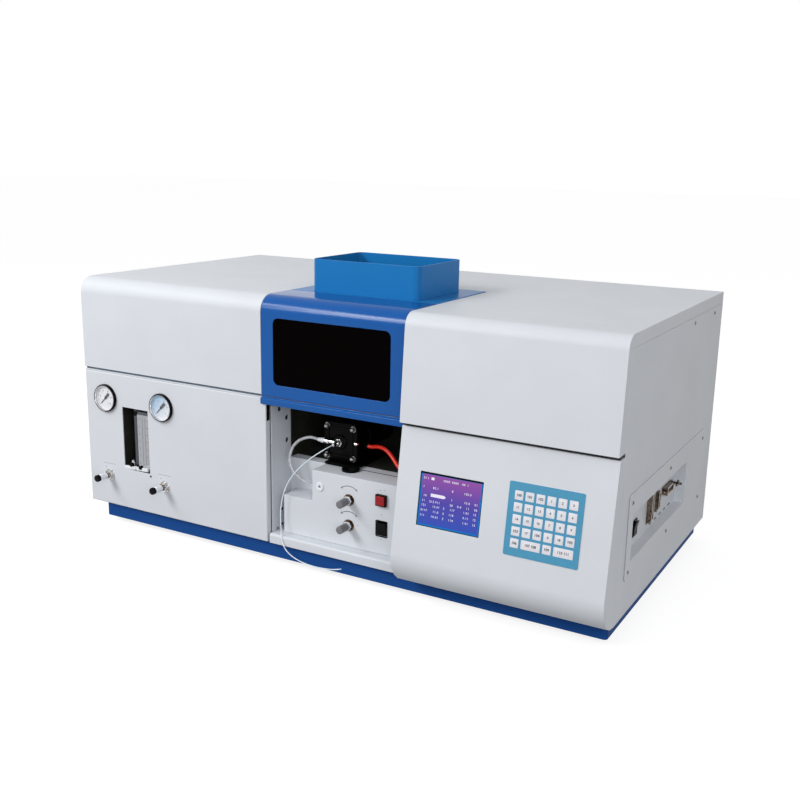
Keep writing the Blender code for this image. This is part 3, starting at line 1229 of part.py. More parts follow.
def adjusting_knob(name, z):
    """A fluted knob whose shaft runs through its bush into the control box."""
    front = BOX_SETBACK - BUSH_LENGTH - GAP
    seat = (KNOB_X, front, SILL_TOP + z)
    outline = []
    for number in range(2 * KNOB_FLUTES):
        radius = KNOB_RADIUS if number % 2 else KNOB_RADIUS * KNOB_FLUTE_SHARE
        angle = math.tau * number / (2 * KNOB_FLUTES)
        outline.append((seat[0] + radius * math.cos(angle), seat[2] + radius * math.sin(angle)))
    knob = make(name, slab(outline, "y", front - KNOB_LENGTH, front), GREY_PLASTIC, pivot=seat, smooth=True)
    shaft_start = (seat[0], front - KNOB_LENGTH / 2, seat[2])
    length = KNOB_LENGTH / 2 + BUSH_LENGTH + KNOB_SHAFT_INSIDE
    fuse(knob, rod(KNOB_SHAFT_RADIUS, shaft_start, BACKWARD, length, SMALL_STEPS))


def ignition_switch():
    """A square push switch: case with a rim and a well, and a cap whose stem runs in the case."""
    centre = (SWITCH_X, SILL_TOP + SWITCH_Z)
    rim_back = BOX_SETBACK - GAP
    rim_front = rim_back - SWITCH_PROUD
    body_size = SWITCH_SIZE - SWITCH_RIM
    well_size = body_size - SWITCH_RIM
    well_depth = BUTTON_CAP + BUTTON_TRAVEL + GAP
    rim = slab(around(centre, SWITCH_SIZE, SWITCH_SIZE), "y", rim_front, rim_back)
    case = make("ignition_switch_case", rim, BLACK_PLASTIC)
    fuse(case, slab(around(centre, body_size, body_size), "y", rim_front + GAP, BOX_SETBACK + SWITCH_DEPTH))
    well = around(centre, well_size, well_size)
    cut(case, slab(well, "y", rim_front - OVERRUN, rim_front + well_depth))
    bore_place = (centre[0], rim_front, centre[1])
    bore = BUTTON_STEM_RADIUS + RUNNING_CLEARANCE
    cut(case, drill(bore, bore_place, BACKWARD, SMALL_STEPS, SWITCH_PROUD + SWITCH_DEPTH + OVERRUN))
    seat = (centre[0], rim_front, centre[1])
    cap_size = well_size - 2 * RUNNING_CLEARANCE
    cap = slab(around(centre, cap_size, cap_size), "y", rim_front - BUTTON_PROUD, rim_front + BUTTON_CAP)
    button = make("ignition_button", cap, RED_PLASTIC, pivot=seat)
    stem_start = (centre[0], rim_front + BUTTON_CAP - SHEET, centre[1])
    fuse(button, rod(BUTTON_STEM_RADIUS, stem_start, BACKWARD, BUTTON_STEM, SMALL_STEPS))


def rocker_outline():
    """A rocker seen from its side as (outward, along), about its pivot."""
    half = ROCKER_HEIGHT / 2
    narrow = half * ROCKER_NARROWING_SHARE
    return [
        (-ROCKER_DEPTH, -narrow),
        (ROCKER_PROUD, -half),
        (ROCKER_PROUD - ROCKER_WAIST, 0),
        (ROCKER_PROUD, half),
        (-ROCKER_DEPTH, narrow),
    ]


def rockers():
    seat = Vector((SWITCH_X, BOX_SETBACK, SILL_TOP + ROCKER_Z))
    side = [(-outward, along) for outward, along in rocker_outline()]
    shape = slab(side, "x", -ROCKER_WIDTH / 2, ROCKER_WIDTH / 2)
    shape.transform(Matrix.Translation(seat) @ Matrix.Rotation(ROCKER_TILT, 4, "X"))
    make("gas_rocker", shape, BLACK_PLASTIC, pivot=seat)
    seat = Vector((X_RIGHT - RECESS_DEPTH + PLATE_THICKNESS, POWER_ROCKER_Y, POWER_ROCKER_Z))
    shape = slab(rocker_outline(), "y", -ROCKER_WIDTH / 2, ROCKER_WIDTH / 2)
    shape.transform(Matrix.Translation(seat) @ Matrix.Rotation(ROCKER_TILT, 4, "Y"))
    make("power_rocker", shape, BLACK_PLASTIC, pivot=seat)


def port_box(port, grow=0):
    """A port's outline on the board, grown by so much on each side, as (y, z)."""
    middle, length, height = port
    return around((middle, PORT_Z), length, height, grow, grow)


def port_tongue(port):
    """The tongue in a port's mouth, laid along its longer side, as (y, z)."""
    middle, length, height = port
    if length > height:
        return around((middle, PORT_Z), length - 2 * PORT_TONGUE_INSET, PORT_TONGUE)
    return around((middle, PORT_Z), PORT_TONGUE, height - 2 * PORT_TONGUE_INSET)


def connector_panel():
    """A plate on the right side with a shallow pan sunk in it, its floor rising a little to the back."""
    face = X_RIGHT + GAP + PLATE_THICKNESS
    plate = rounded((PLATE_FRONT, PLATE_BOTTOM), (PLATE_REAR, PLATE_TOP), PLATE_CORNER, PLATE_STEPS)
    panel = make("connector_panel", slab(plate, "x", X_RIGHT + GAP, face), WHITE_PAINT)
    back = X_RIGHT - RECESS_DEPTH
    wall = RECESS_WALL
    floor = RECESS_BOTTOM + RECESS_SLOPE
    outside = [
        (back - wall, RECESS_TOP + wall),
        (back - wall, floor - wall),
        (X_RIGHT, RECESS_BOTTOM - wall),
        (face - GAP, RECESS_BOTTOM - wall),
        (face - GAP, RECESS_TOP + wall),
    ]
    inside = [
        (back, RECESS_TOP),
        (back, floor),
        (X_RIGHT, RECESS_BOTTOM),
        (face + OVERRUN, RECESS_BOTTOM),
        (face + OVERRUN, RECESS_TOP),
    ]
    fuse(panel, slab(outside, "y", RECESS_FRONT - wall, RECESS_REAR + wall))
    cut(panel, slab(inside, "y", RECESS_FRONT, RECESS_REAR))
    openings = [port_box(port, GAP) for port in PORTS]
    rocker_centre = (POWER_ROCKER_Y, POWER_ROCKER_Z)
    openings.append(
        around(rocker_centre, ROCKER_WIDTH, ROCKER_HEIGHT, ROCKER_SIDE_CLEARANCE, ROCKER_CLEARANCE)
    )
    for number in range(SLOT_COUNT):
        centre = (SLOT_START + number * SLOT_PITCH, floor + SLOT_ABOVE)
        openings.append(around(centre, SLOT_LENGTH, SLOT_HEIGHT))
    for opening in openings:
        cut(panel, slab(opening, "x", back - wall - GAP, back + GAP))


def main_board():
    """A board upright behind the connector panel, with three ports that reach through the panel's pan."""
    back = X_RIGHT - RECESS_DEPTH - RECESS_WALL - BOARD_SPACING
    low = (BOARD_START, BOARD_BOTTOM)
    outline = rectangle(low, (BOARD_START + BOARD_LENGTH, BOARD_BOTTOM + BOARD_HEIGHT))
    board = make("main_board", slab(outline, "x", back - BOARD_THICKNESS, back), GREEN_BOARD)
    mouth = X_RIGHT - RECESS_DEPTH + PORT_PROUD
    floor = mouth - PORT_CAVITY
    for port in PORTS:
        fuse(board, slab(port_box(port), "x", back - BOARD_THICKNESS / 2, mouth))
        cut(board, slab(port_box(port, -PORT_WALL), "x", floor, mouth + OVERRUN))
        fuse(board, slab(port_tongue(port), "x", floor - PORT_WALL, mouth - PORT_WALL))


def lift_carriage():
    """The post that rises out of the control box, its disc, and the arm that carries the burner."""
    top = CARRIAGE_BOTTOM + CARRIAGE_THICKNESS
    low = (BURNER_X - CARRIAGE_LEFT, CARRIAGE_START, CARRIAGE_BOTTOM)
    plate = block(low, (POST_X + POST_DISC_RADIUS / 2, CARRIAGE_BACK, top))
    foot = (POST_X, POST_Y, POST_BOTTOM)
    lift = make("burner_lift_post", plate, BLACK_PAINT, pivot=foot)
    post = rod(POST_RADIUS, foot, UP, CARRIAGE_BOTTOM + CARRIAGE_THICKNESS / 2 - POST_BOTTOM, SMALL_STEPS)
    disc = rod(POST_DISC_RADIUS, (POST_X, POST_Y, CARRIAGE_BOTTOM - POST_DISC_DROP), UP, POST_DISC_THICKNESS)
    fuse(lift, post, disc)


def spray_chamber():
    """The mixing chamber along Y with its bolted end cap, saddle, neck and fuel port."""
    cap_front = CHAMBER_FRONT - CAP_THICKNESS
    cap_outline = rounded(
        (BURNER_X - CAP_SIZE / 2, CHAMBER_Z - CAP_SIZE / 2),
        (BURNER_X + CAP_SIZE / 2, CHAMBER_Z + CAP_SIZE / 2),
        CAP_CORNER,
        CAP_STEPS,
    )
    cap = slab(cap_outline, "y", cap_front, CHAMBER_FRONT)
    pivot = (BURNER_X, CHAMBER_FRONT, CHAMBER_Z)
    chamber = make("spray_chamber", cap, BLACK_PLASTIC, pivot=pivot, smooth=True)
    barrel_start = (BURNER_X, CHAMBER_FRONT - CAP_THICKNESS / 2, CHAMBER_Z)
    barrel_length = CHAMBER_BACK - CHAMBER_FRONT + CAP_THICKNESS / 2
    barrel = rod(CHAMBER_RADIUS, barrel_start, BACKWARD, barrel_length)
    neck = rod(NECK_RADIUS, (BURNER_X, BURNER_Y, CHAMBER_Z), UP, NECK_TOP - CHAMBER_Z)
    saddle_bottom = CARRIAGE_BOTTOM + CARRIAGE_THICKNESS + GAP
    saddle_low = (BURNER_X - SADDLE_WIDTH / 2, SADDLE_START, saddle_bottom)
    saddle_high = (BURNER_X + SADDLE_WIDTH / 2, SADDLE_START + SADDLE_LENGTH, CHAMBER_Z - CHAMBER_RADIUS / 2)
    port_start = (BURNER_X, FUEL_PORT_Y, FUEL_PORT_Z)
    port = rod(FUEL_PORT_RADIUS, port_start, RIGHTWARD, FUEL_PORT_END, SMALL_STEPS)
    fuse(chamber, barrel, neck, block(saddle_low, saddle_high), port)
    for side in (-1, 1):
        for level in (-1, 1):
            x, z = BURNER_X + side * CAP_NUT_SPREAD, CHAMBER_Z + level * CAP_NUT_SPREAD
            start = (x, cap_front + CAP_THICKNESS / 2, z)
            length = CAP_THICKNESS / 2 + CAP_NUT_LENGTH
            fuse(chamber, rod(CAP_NUT_RADIUS, start, -BACKWARD, length, SMALL_STEPS))


def burner_head():
    """A slotted head on a collar that turns on the chamber's neck."""
    seat = (BURNER_X, BURNER_Y, NECK_TOP + GAP)
    outline = [
        (-HEAD_WIDTH / 2, HEAD_BOTTOM),
        (HEAD_WIDTH / 2, HEAD_BOTTOM),
        (HEAD_WIDTH / 2, HEAD_SHOULDER),
        (HEAD_TOP_WIDTH / 2, HEAD_TOP),
        (-HEAD_TOP_WIDTH / 2, HEAD_TOP),
        (-HEAD_WIDTH / 2, HEAD_SHOULDER),
    ]
    outline = [(BURNER_Y + across, height) for across, height in outline]
    shape = slab(outline, "x", BURNER_X - HEAD_LENGTH / 2, BURNER_X + HEAD_LENGTH / 2)
    head = make("burner_head", shape, TITANIUM, pivot=seat)
    fuse(head, rod(COLLAR_RADIUS, seat, UP, HEAD_BOTTOM + SHEET - seat[2]))
    slot = around((BURNER_X, BURNER_Y), HEAD_SLOT_LENGTH, HEAD_SLOT_WIDTH)
    cut(head, slab(slot, "z", HEAD_TOP - HEAD_SLOT_DEPTH, HEAD_TOP + OVERRUN))


def nebulizer():
    """A hexagon and a stepped barrel on the end cap, with an air port to the left and a bored tip."""
    start = CHAMBER_FRONT - CAP_THICKNESS - GAP
    seat = (BURNER_X, start, CHAMBER_Z)
    hexagon = rod(NEBULIZER_RADIUS, seat, -BACKWARD, NEBULIZER_HEX_LENGTH, HEX)
    body = make("nebulizer", hexagon, CHROME, smooth=True)
    barrel_end = NEBULIZER_LENGTH - NEBULIZER_TIP_LENGTH
    profile = [
        (0, NEBULIZER_HEX_LENGTH / 2),
        (NEBULIZER_BARREL_RADIUS, NEBULIZER_HEX_LENGTH / 2),
        (NEBULIZER_BARREL_RADIUS, barrel_end),
        (NEBULIZER_TIP_RADIUS, barrel_end + NEBULIZER_TAPER),
        (NEBULIZER_TIP_RADIUS, NEBULIZER_LENGTH),
        (0, NEBULIZER_LENGTH),
    ]
    port_start = (BURNER_X, start - AIR_PORT_SETOUT, CHAMBER_Z)
    port = rod(AIR_PORT_RADIUS, port_start, -RIGHTWARD, AIR_PORT_LENGTH, SMALL_STEPS)
    fuse(body, turned(profile, seat, -BACKWARD, SMALL_STEPS), port)
    bore_start = (BURNER_X, start - NEBULIZER_LENGTH - OVERRUN, CHAMBER_Z)
    cut(body, rod(NEBULIZER_BORE, bore_start, BACKWARD, NEBULIZER_BORE_DEPTH + OVERRUN, SMALL_STEPS))


def hoses():
    smooth_tube("air_hose", AIR_HOSE_ROUTE, AIR_HOSE_RADIUS, HOSE_STEP, CLEAR_HOSE)
    smooth_tube("fuel_hose", FUEL_HOSE_ROUTE, FUEL_HOSE_RADIUS, HOSE_STEP, RED_HOSE)
    smooth_tube("sample_capillary", CAPILLARY_ROUTE, CAPILLARY_RADIUS, CAPILLARY_STEP, WHITE_TUBE)


def turret_stand(axis, plate_back):
    """An upright plate on a foot, with a bored boss for the turret's shaft."""
    shoulder = TURRET_Z + STAND_ABOVE
    outline = [
        (BURNER_Y - STAND_WIDTH / 2, CASE_BOTTOM),
        (BURNER_Y + STAND_WIDTH / 2, CASE_BOTTOM),
        (BURNER_Y + STAND_TOP_WIDTH / 2, shoulder),
        (BURNER_Y - STAND_TOP_WIDTH / 2, shoulder),
    ]
    plate = slab(outline, "x", plate_back, plate_back + STAND_THICKNESS)
    stand = make("lamp_turret_stand", plate, ALUMINIUM)
    middle = plate_back + STAND_THICKNESS / 2
    foot_low = (plate_back - STAND_FOOT, BURNER_Y - STAND_WIDTH / 2, CASE_BOTTOM)
    foot_high = (middle, BURNER_Y + STAND_WIDTH / 2, CASE_BOTTOM + STAND_THICKNESS)
    boss = rod(STAND_BOSS_RADIUS, (middle, axis.y, axis.z), RIGHTWARD, TURRET_X - GAP - middle)
    fuse(stand, block(foot_low, foot_high), boss)
    bore = TURRET_SHAFT_RADIUS + RUNNING_CLEARANCE
    cut(stand, drill(bore, (plate_back, axis.y, axis.z), RIGHTWARD, depth=TURRET_X - plate_back))


def lamp_turret():
    """A disc on a shaft along X, with two lamps and two empty sockets about its axis."""
    axis = Vector((TURRET_X, BURNER_Y, TURRET_Z))
    plate_back = TURRET_X - STAND_BOSS_LENGTH - STAND_THICKNESS
    turret_stand(axis, plate_back)
    disc = rod(TURRET_RADIUS, axis, RIGHTWARD, TURRET_THICKNESS)
    turret = make("lamp_turret", disc, ALUMINIUM, pivot=axis, smooth=True)
    shaft_start = (plate_back - GAP, axis.y, axis.z)
    shaft_length = TURRET_X + TURRET_THICKNESS / 2 - plate_back
    fuse(turret, rod(TURRET_SHAFT_RADIUS, shaft_start, RIGHTWARD, shaft_length))
    ring = [
        (SPARE_SOCKET_BORE, -TURRET_THICKNESS / 2),
        (SPARE_SOCKET_RADIUS, -TURRET_THICKNESS / 2),
        (SPARE_SOCKET_RADIUS, SPARE_SOCKET_HEIGHT),
        (SPARE_SOCKET_BORE, SPARE_SOCKET_HEIGHT),
    ]
    face = TURRET_X + TURRET_THICKNESS
    for side in (-1, 1):
        place = (face, axis.y + side * LAMP_ORBIT, axis.z)
        fuse(turret, turned(ring, place, RIGHTWARD, SMALL_STEPS, closed=True))
    for name, level in (("hollow_cathode_lamp_1", 1), ("hollow_cathode_lamp_2", -1)):
        place = (face + GAP, axis.y, axis.z + level * LAMP_ORBIT)
        lamp = turned(lamp_profile(), place, RIGHTWARD, SMALL_STEPS)
        make(name, lamp, CLEAR_GLASS, pivot=axis, smooth=True)


def lamp_profile():
    return [
        (0, 0),
        (LAMP_BASE_RADIUS, 0),
        (LAMP_BASE_RADIUS, LAMP_BASE_LENGTH),
        (LAMP_RADIUS, LAMP_BASE_LENGTH + LAMP_NECK),
        (LAMP_RADIUS, LAMP_LENGTH - LAMP_NECK),
        (LAMP_WINDOW_RADIUS, LAMP_LENGTH),
        (0, LAMP_LENGTH),
    ]


def monochromator():
    """A closed housing on four legs, with the detector's can on its right and a turning table inside."""
    left = RIGHT_LEFT_X + HOUSING_START
    right = X_RIGHT - HOUSING_SIDE_CLEARANCE - TUBE_CAN_LENGTH
    wall = HOUSING_WALL
    shell = block((left, HOUSING_FRONT, HOUSING_BOTTOM), (right, HOUSING_BACK, HOUSING_TOP))
    housing = make("monochromator_housing", shell, ALUMINIUM)
    for x in (left, right - HOUSING_LEG):
        for y in (HOUSING_FRONT, HOUSING_BACK - HOUSING_LEG):
            leg_high = (x + HOUSING_LEG, y + HOUSING_LEG, HOUSING_BOTTOM + wall / 2)
            fuse(housing, block((x, y, CASE_BOTTOM), leg_high))
    port_z = BEAM_Z + TUBE_PORT_RISE
    can_start = (right - wall / 2, BURNER_Y, port_z)
    fuse(housing, rod(TUBE_CAN_RADIUS, can_start, RIGHTWARD, TUBE_CAN_LENGTH + wall / 2))
    hollow_low = (left + wall, HOUSING_FRONT + wall, HOUSING_BOTTOM + wall)
    cut(housing, block(hollow_low, (right - wall, HOUSING_BACK - wall, HOUSING_TOP - wall)))
    cut(housing, drill(BEAM_HOLE_RADIUS, (left, BURNER_Y, BEAM_Z), RIGHTWARD, SMALL_STEPS))
    port_depth = TUBE_CAN_LENGTH - wall - OVERRUN
    cut(housing, drill(TUBE_PORT_RADIUS, (right, BURNER_Y, port_z), RIGHTWARD, SMALL_STEPS, port_depth))
    table_x = left + (right - left) * TABLE_X_SHARE
    cut(housing, drill(HOUSING_SHAFT_HOLE, (table_x, BURNER_Y, HOUSING_BOTTOM), UP, SMALL_STEPS))
    seat = (table_x, BURNER_Y, HOUSING_BOTTOM + wall + GAP)
    top = seat[2] + TABLE_THICKNESS
    disc = rod(TABLE_RADIUS, seat, UP, TABLE_THICKNESS)
    table = make("grating_table", disc, STEEL, pivot=seat, smooth=True)
    grating = around((table_x, BURNER_Y), GRATING_THICKNESS, GRATING_WIDTH)
    shaft_start = (table_x, BURNER_Y, seat[2] - TABLE_SHAFT_LENGTH)
    shaft = rod(TABLE_SHAFT_RADIUS, shaft_start, UP, TABLE_SHAFT_LENGTH + TABLE_THICKNESS / 2, SMALL_STEPS)
    fuse(table, slab(grating, "z", top - TABLE_THICKNESS / 2, top + GRATING_HEIGHT), shaft)


def power_transformer():
    """A laminated core with its winding through it."""
    core_outline = around((CORE_X, CORE_Y), CORE_WIDTH, CORE_DEPTH)
    core = make("power_transformer", slab(core_outline, "z", CASE_BOTTOM, CASE_BOTTOM + CORE_HEIGHT), STEEL)
    middle = CASE_BOTTOM + CORE_HEIGHT / 2
    low = (CORE_X - COIL_WIDTH / 2, middle - COIL_HEIGHT / 2)
    high = (CORE_X + COIL_WIDTH / 2, middle + COIL_HEIGHT / 2)
    winding = rounded(low, high, COIL_ROUND, COIL_STEPS)
    fuse(core, slab(winding, "y", CORE_Y - COIL_DEPTH / 2, CORE_Y + COIL_DEPTH / 2))


base_and_feet()
side_panels()
rear_panel()
fan_rotor()
left_front_panel()
gauge("left", GAUGE_LEFT_X)
gauge("right", GAUGE_RIGHT_X)
flowmeter()
needle_valve("left", VALVE_LEFT_X)
needle_valve("right", VALVE_RIGHT_X)
left_top_cover()
right_top_lid()
right_front_panel()
display_and_keypad()
rear_top_panel()
hood_and_chimney()
visor()
bulkheads()
bay_liner()
bay_sill()
control_box()
adjusting_knob("height_knob", HEIGHT_KNOB_Z)
adjusting_knob("traverse_knob", TRAVERSE_KNOB_Z)
ignition_switch()
rockers()
connector_panel()
main_board()
lift_carriage()
spray_chamber()
burner_head()
nebulizer()
hoses()
lamp_turret()
monochromator()
power_transformer()
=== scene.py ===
"""Looks for a packed bench flame spectrometer: detailed pieces, finishes, lights and a camera.

Shapes are drawn in millimetres: X from the middle of the width, Y from the left cabinet's front
face towards the back, Z from the underside of the blue base. A wall-mounted shape is drawn with
X to its right, Y up and Z outward, and is then put on its wall.
"""

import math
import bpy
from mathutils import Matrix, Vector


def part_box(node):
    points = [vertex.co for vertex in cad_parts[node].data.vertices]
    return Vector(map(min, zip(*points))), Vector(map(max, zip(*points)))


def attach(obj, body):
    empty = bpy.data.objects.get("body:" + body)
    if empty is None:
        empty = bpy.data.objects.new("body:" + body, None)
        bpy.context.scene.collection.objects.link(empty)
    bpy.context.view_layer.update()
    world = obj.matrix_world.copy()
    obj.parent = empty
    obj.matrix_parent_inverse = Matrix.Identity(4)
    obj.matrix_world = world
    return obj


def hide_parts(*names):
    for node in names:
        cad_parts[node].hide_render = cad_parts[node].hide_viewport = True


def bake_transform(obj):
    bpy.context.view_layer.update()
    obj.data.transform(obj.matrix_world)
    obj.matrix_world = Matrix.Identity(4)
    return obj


bl_info = {
    "name": "Flame Spectrometer Looks",
    "version": (1, 0, 0),
    "blender": (4, 5, 0),
    "location": "View3D > Sidebar > Spectrometer",
    "description": "Dresses a packed flame spectrometer with pieces, finishes, lights and a camera",
    "category": "Object",
}

import bmesh
import bpy
from bpy.props import FloatProperty, FloatVectorProperty, IntProperty, PointerProperty
from mathutils import Matrix, Vector

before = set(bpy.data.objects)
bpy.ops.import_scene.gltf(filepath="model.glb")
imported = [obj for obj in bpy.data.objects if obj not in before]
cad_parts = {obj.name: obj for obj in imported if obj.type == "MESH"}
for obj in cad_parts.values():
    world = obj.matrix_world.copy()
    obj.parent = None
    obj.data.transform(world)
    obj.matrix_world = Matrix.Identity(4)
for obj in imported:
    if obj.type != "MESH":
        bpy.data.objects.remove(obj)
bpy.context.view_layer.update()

MM = 0.001
CABINET = "cabinet"
ORIGIN = Vector((0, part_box("left_front_panel")[0].y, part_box("base_plinth")[0].z))
LEAN_SHARE = 0.15
QUARTER = math.pi / 2
SMOOTH_ANGLE = math.radians(40)
EASE_ANGLE = math.radians(35)
FLAT_ANGLE = math.radians(0.5)
PRINT = 0.05
FRONT = Matrix.Rotation(QUARTER, 4, "X")
WALLS = {
    "top": Matrix(),
    "front": FRONT,
    "right": Matrix.Rotation(QUARTER, 4, "Z") @ FRONT,
    "rear": Matrix.Rotation(math.pi, 4, "Z") @ FRONT,
    "left": Matrix.Rotation(-QUARTER, 4, "Z") @ FRONT,
    "panel": Matrix.Rotation(-math.atan(LEAN_SHARE), 4, "X") @ FRONT,
    "beam": Matrix.Rotation(QUARTER, 4, "Y"),
}


def in_frame(point):
    return ORIGIN + Vector(point) * MM


def linear(code):
    """An sRGB hex colour as linear values."""
    values = [int(code[i : i + 2], 16) / 255 for i in (1, 3, 5)]
    return tuple(v / 12.92 if v <= 0.04045 else ((v + 0.055) / 1.055) ** 2.4 for v in values)


class SpectrometerSizes(bpy.types.PropertyGroup):
    """Sizes that a user may change."""

    edge_round: FloatProperty(
        name="Edge rounding", description="Rounding on the edges of coated sheet", default=0.0007,
        min=0.0001, max=0.002, unit="LENGTH",
    )
    screw_radius: FloatProperty(
        name="Screw head", description="Radius of the cover screws' heads", default=0.0032,
        min=0.001, max=0.006, unit="LENGTH",
    )
    figure_height: FloatProperty(
        name="Screen figures", description="Height of the figures on the display", default=0.0046,
        min=0.002, max=0.01, unit="LENGTH",
    )
    dial_marks: IntProperty(
        name="Dial marks", description="Marks on each gauge's scale", default=51, min=11, max=101
    )


class SpectrometerColours(bpy.types.PropertyGroup):
    """Colours that a user may change."""

    white_coat: FloatVectorProperty(
        name="Cabinet", description="Pale grey-white powder coat", subtype="COLOR",
        default=linear("#CFD3D9"),
    )
    hood_blue: FloatVectorProperty(
        name="Hood", description="Mid-blue powder coat", subtype="COLOR", default=linear("#04519B")
    )
    base_blue: FloatVectorProperty(
        name="Base", description="Dark blue powder coat", subtype="COLOR", default=linear("#1E4A8C")
    )
    keypad_teal: FloatVectorProperty(
        name="Keypad", description="Teal printed film", subtype="COLOR", default=linear("#3F8BAE")
    )
    red_hose: FloatVectorProperty(
        name="Fuel hose", description="Red rubber hose", subtype="COLOR", default=linear("#EC2C16")
    )


def add(tree, kind, sockets=None, stops=(), **settings):
    """Adds one node: its settings, each socket's value or the output it takes, and a ramp's stops."""
    made = tree.nodes.new(f"ShaderNode{kind}")
    for name, value in settings.items():
        setattr(made, name, value)
    for name, value in (sockets or {}).items():
        if isinstance(value, bpy.types.NodeSocket):
            tree.links.new(value, made.inputs[name])
        else:
            made.inputs[name].default_value = value
    for number, (place, colour) in enumerate(stops):
        ramp = made.color_ramp.elements
        stop = ramp[number] if number < 2 else ramp.new(place)
        stop.position = place
        stop.color = (*colour, 1)
    return made


def fresh(name, colour, roughness, sockets):
    """A new material on one Principled shader, with its even values on the shader's own sockets."""
    made = bpy.data.materials.new(name)
    made.use_nodes = True
    shader = made.node_tree.nodes["Principled BSDF"]
    shader.inputs["Base Color"].default_value = (*colour, 1)
    shader.inputs["Roughness"].default_value = roughness
    for socket, value in sockets.items():
        shader.inputs[socket].default_value = value
    return made


# Patches of duller and smoother finish, about 70 mm across.
CLOUD_SCALE = 14.0
# Where a wandering colour's two tones stand in its noise.
TONE_ENDS = (0.3, 0.7)


def textured(made, size, depth, rough=None, stretch=(1, 1, 1)):
    """Gives a finish bumps of a size and depth in millimetres, and a range of roughness."""
    tree = made.node_tree
    shader = tree.nodes["Principled BSDF"]
    place = add(tree, "TexCoord").outputs["Object"]
    mapped = add(tree, "Mapping", {"Vector": place, "Scale": stretch}).outputs["Vector"]
    grain = add(tree, "TexNoise", {"Vector": mapped, "Scale": 1 / (size * MM), "Detail": 2.0})
    bump = add(tree, "Bump", {"Height": grain.outputs["Fac"], "Distance": depth * MM})
    tree.links.new(bump.outputs["Normal"], shader.inputs["Normal"])
    if rough:
        cloud = add(tree, "TexNoise", {"Vector": mapped, "Scale": CLOUD_SCALE, "Detail": 3.0})
        smooth, dull = rough
        spread = add(tree, "MapRange", {"Value": cloud.outputs["Fac"], "To Min": smooth, "To Max": dull})
        tree.links.new(spread.outputs["Result"], shader.inputs["Roughness"])
    return made


def mottled(made, dark, light, size, stretch=(1, 1, 1)):
    """Lets a finish's colour wander between two colours over a size in millimetres."""
    tree = made.node_tree
    place = add(tree, "TexCoord").outputs["Object"]
    mapped = add(tree, "Mapping", {"Vector": place, "Scale": stretch}).outputs["Vector"]
    cloud = add(tree, "TexNoise", {"Vector": mapped, "Scale": 1 / (size * MM), "Detail": 4.0})
    ramp = add(tree, "ValToRGB", {"Fac": cloud.outputs["Fac"]}, zip(TONE_ENDS, (dark, light)))
    tree.links.new(ramp.outputs["Color"], tree.nodes["Principled BSDF"].inputs["Base Color"])


def graded(made, along, start, end, stops, socket):
    """Lets a colour change along a direction, from one distance in the frame to another."""
    tree = made.node_tree
    place = add(tree, "TexCoord").outputs["Object"]
    reach = add(tree, "VectorMath", {0: place, 1: along}, operation="DOT_PRODUCT").outputs["Value"]
    level = add(tree, "MapRange", {"Value": reach, "From Min": start, "From Max": end}).outputs["Result"]
    ramp = add(tree, "ValToRGB", {"Fac": level}, [(share, linear(code)) for share, code in stops])
    tree.links.new(ramp.outputs["Color"], tree.nodes["Principled BSDF"].inputs[socket])


def toned(tone, own):
    """A colour code's colour, or a share of a finish's own colour."""
    return tuple(level * tone for level in own) if isinstance(tone, float) else linear(tone)


METAL = {"Metallic": 1.0}
SHEEN = "Specular IOR Level"
GLOW = "Emission Strength"
UNLIT_SHARE = 0.3
COAT_TONES = (0.975, 1.015, 90)

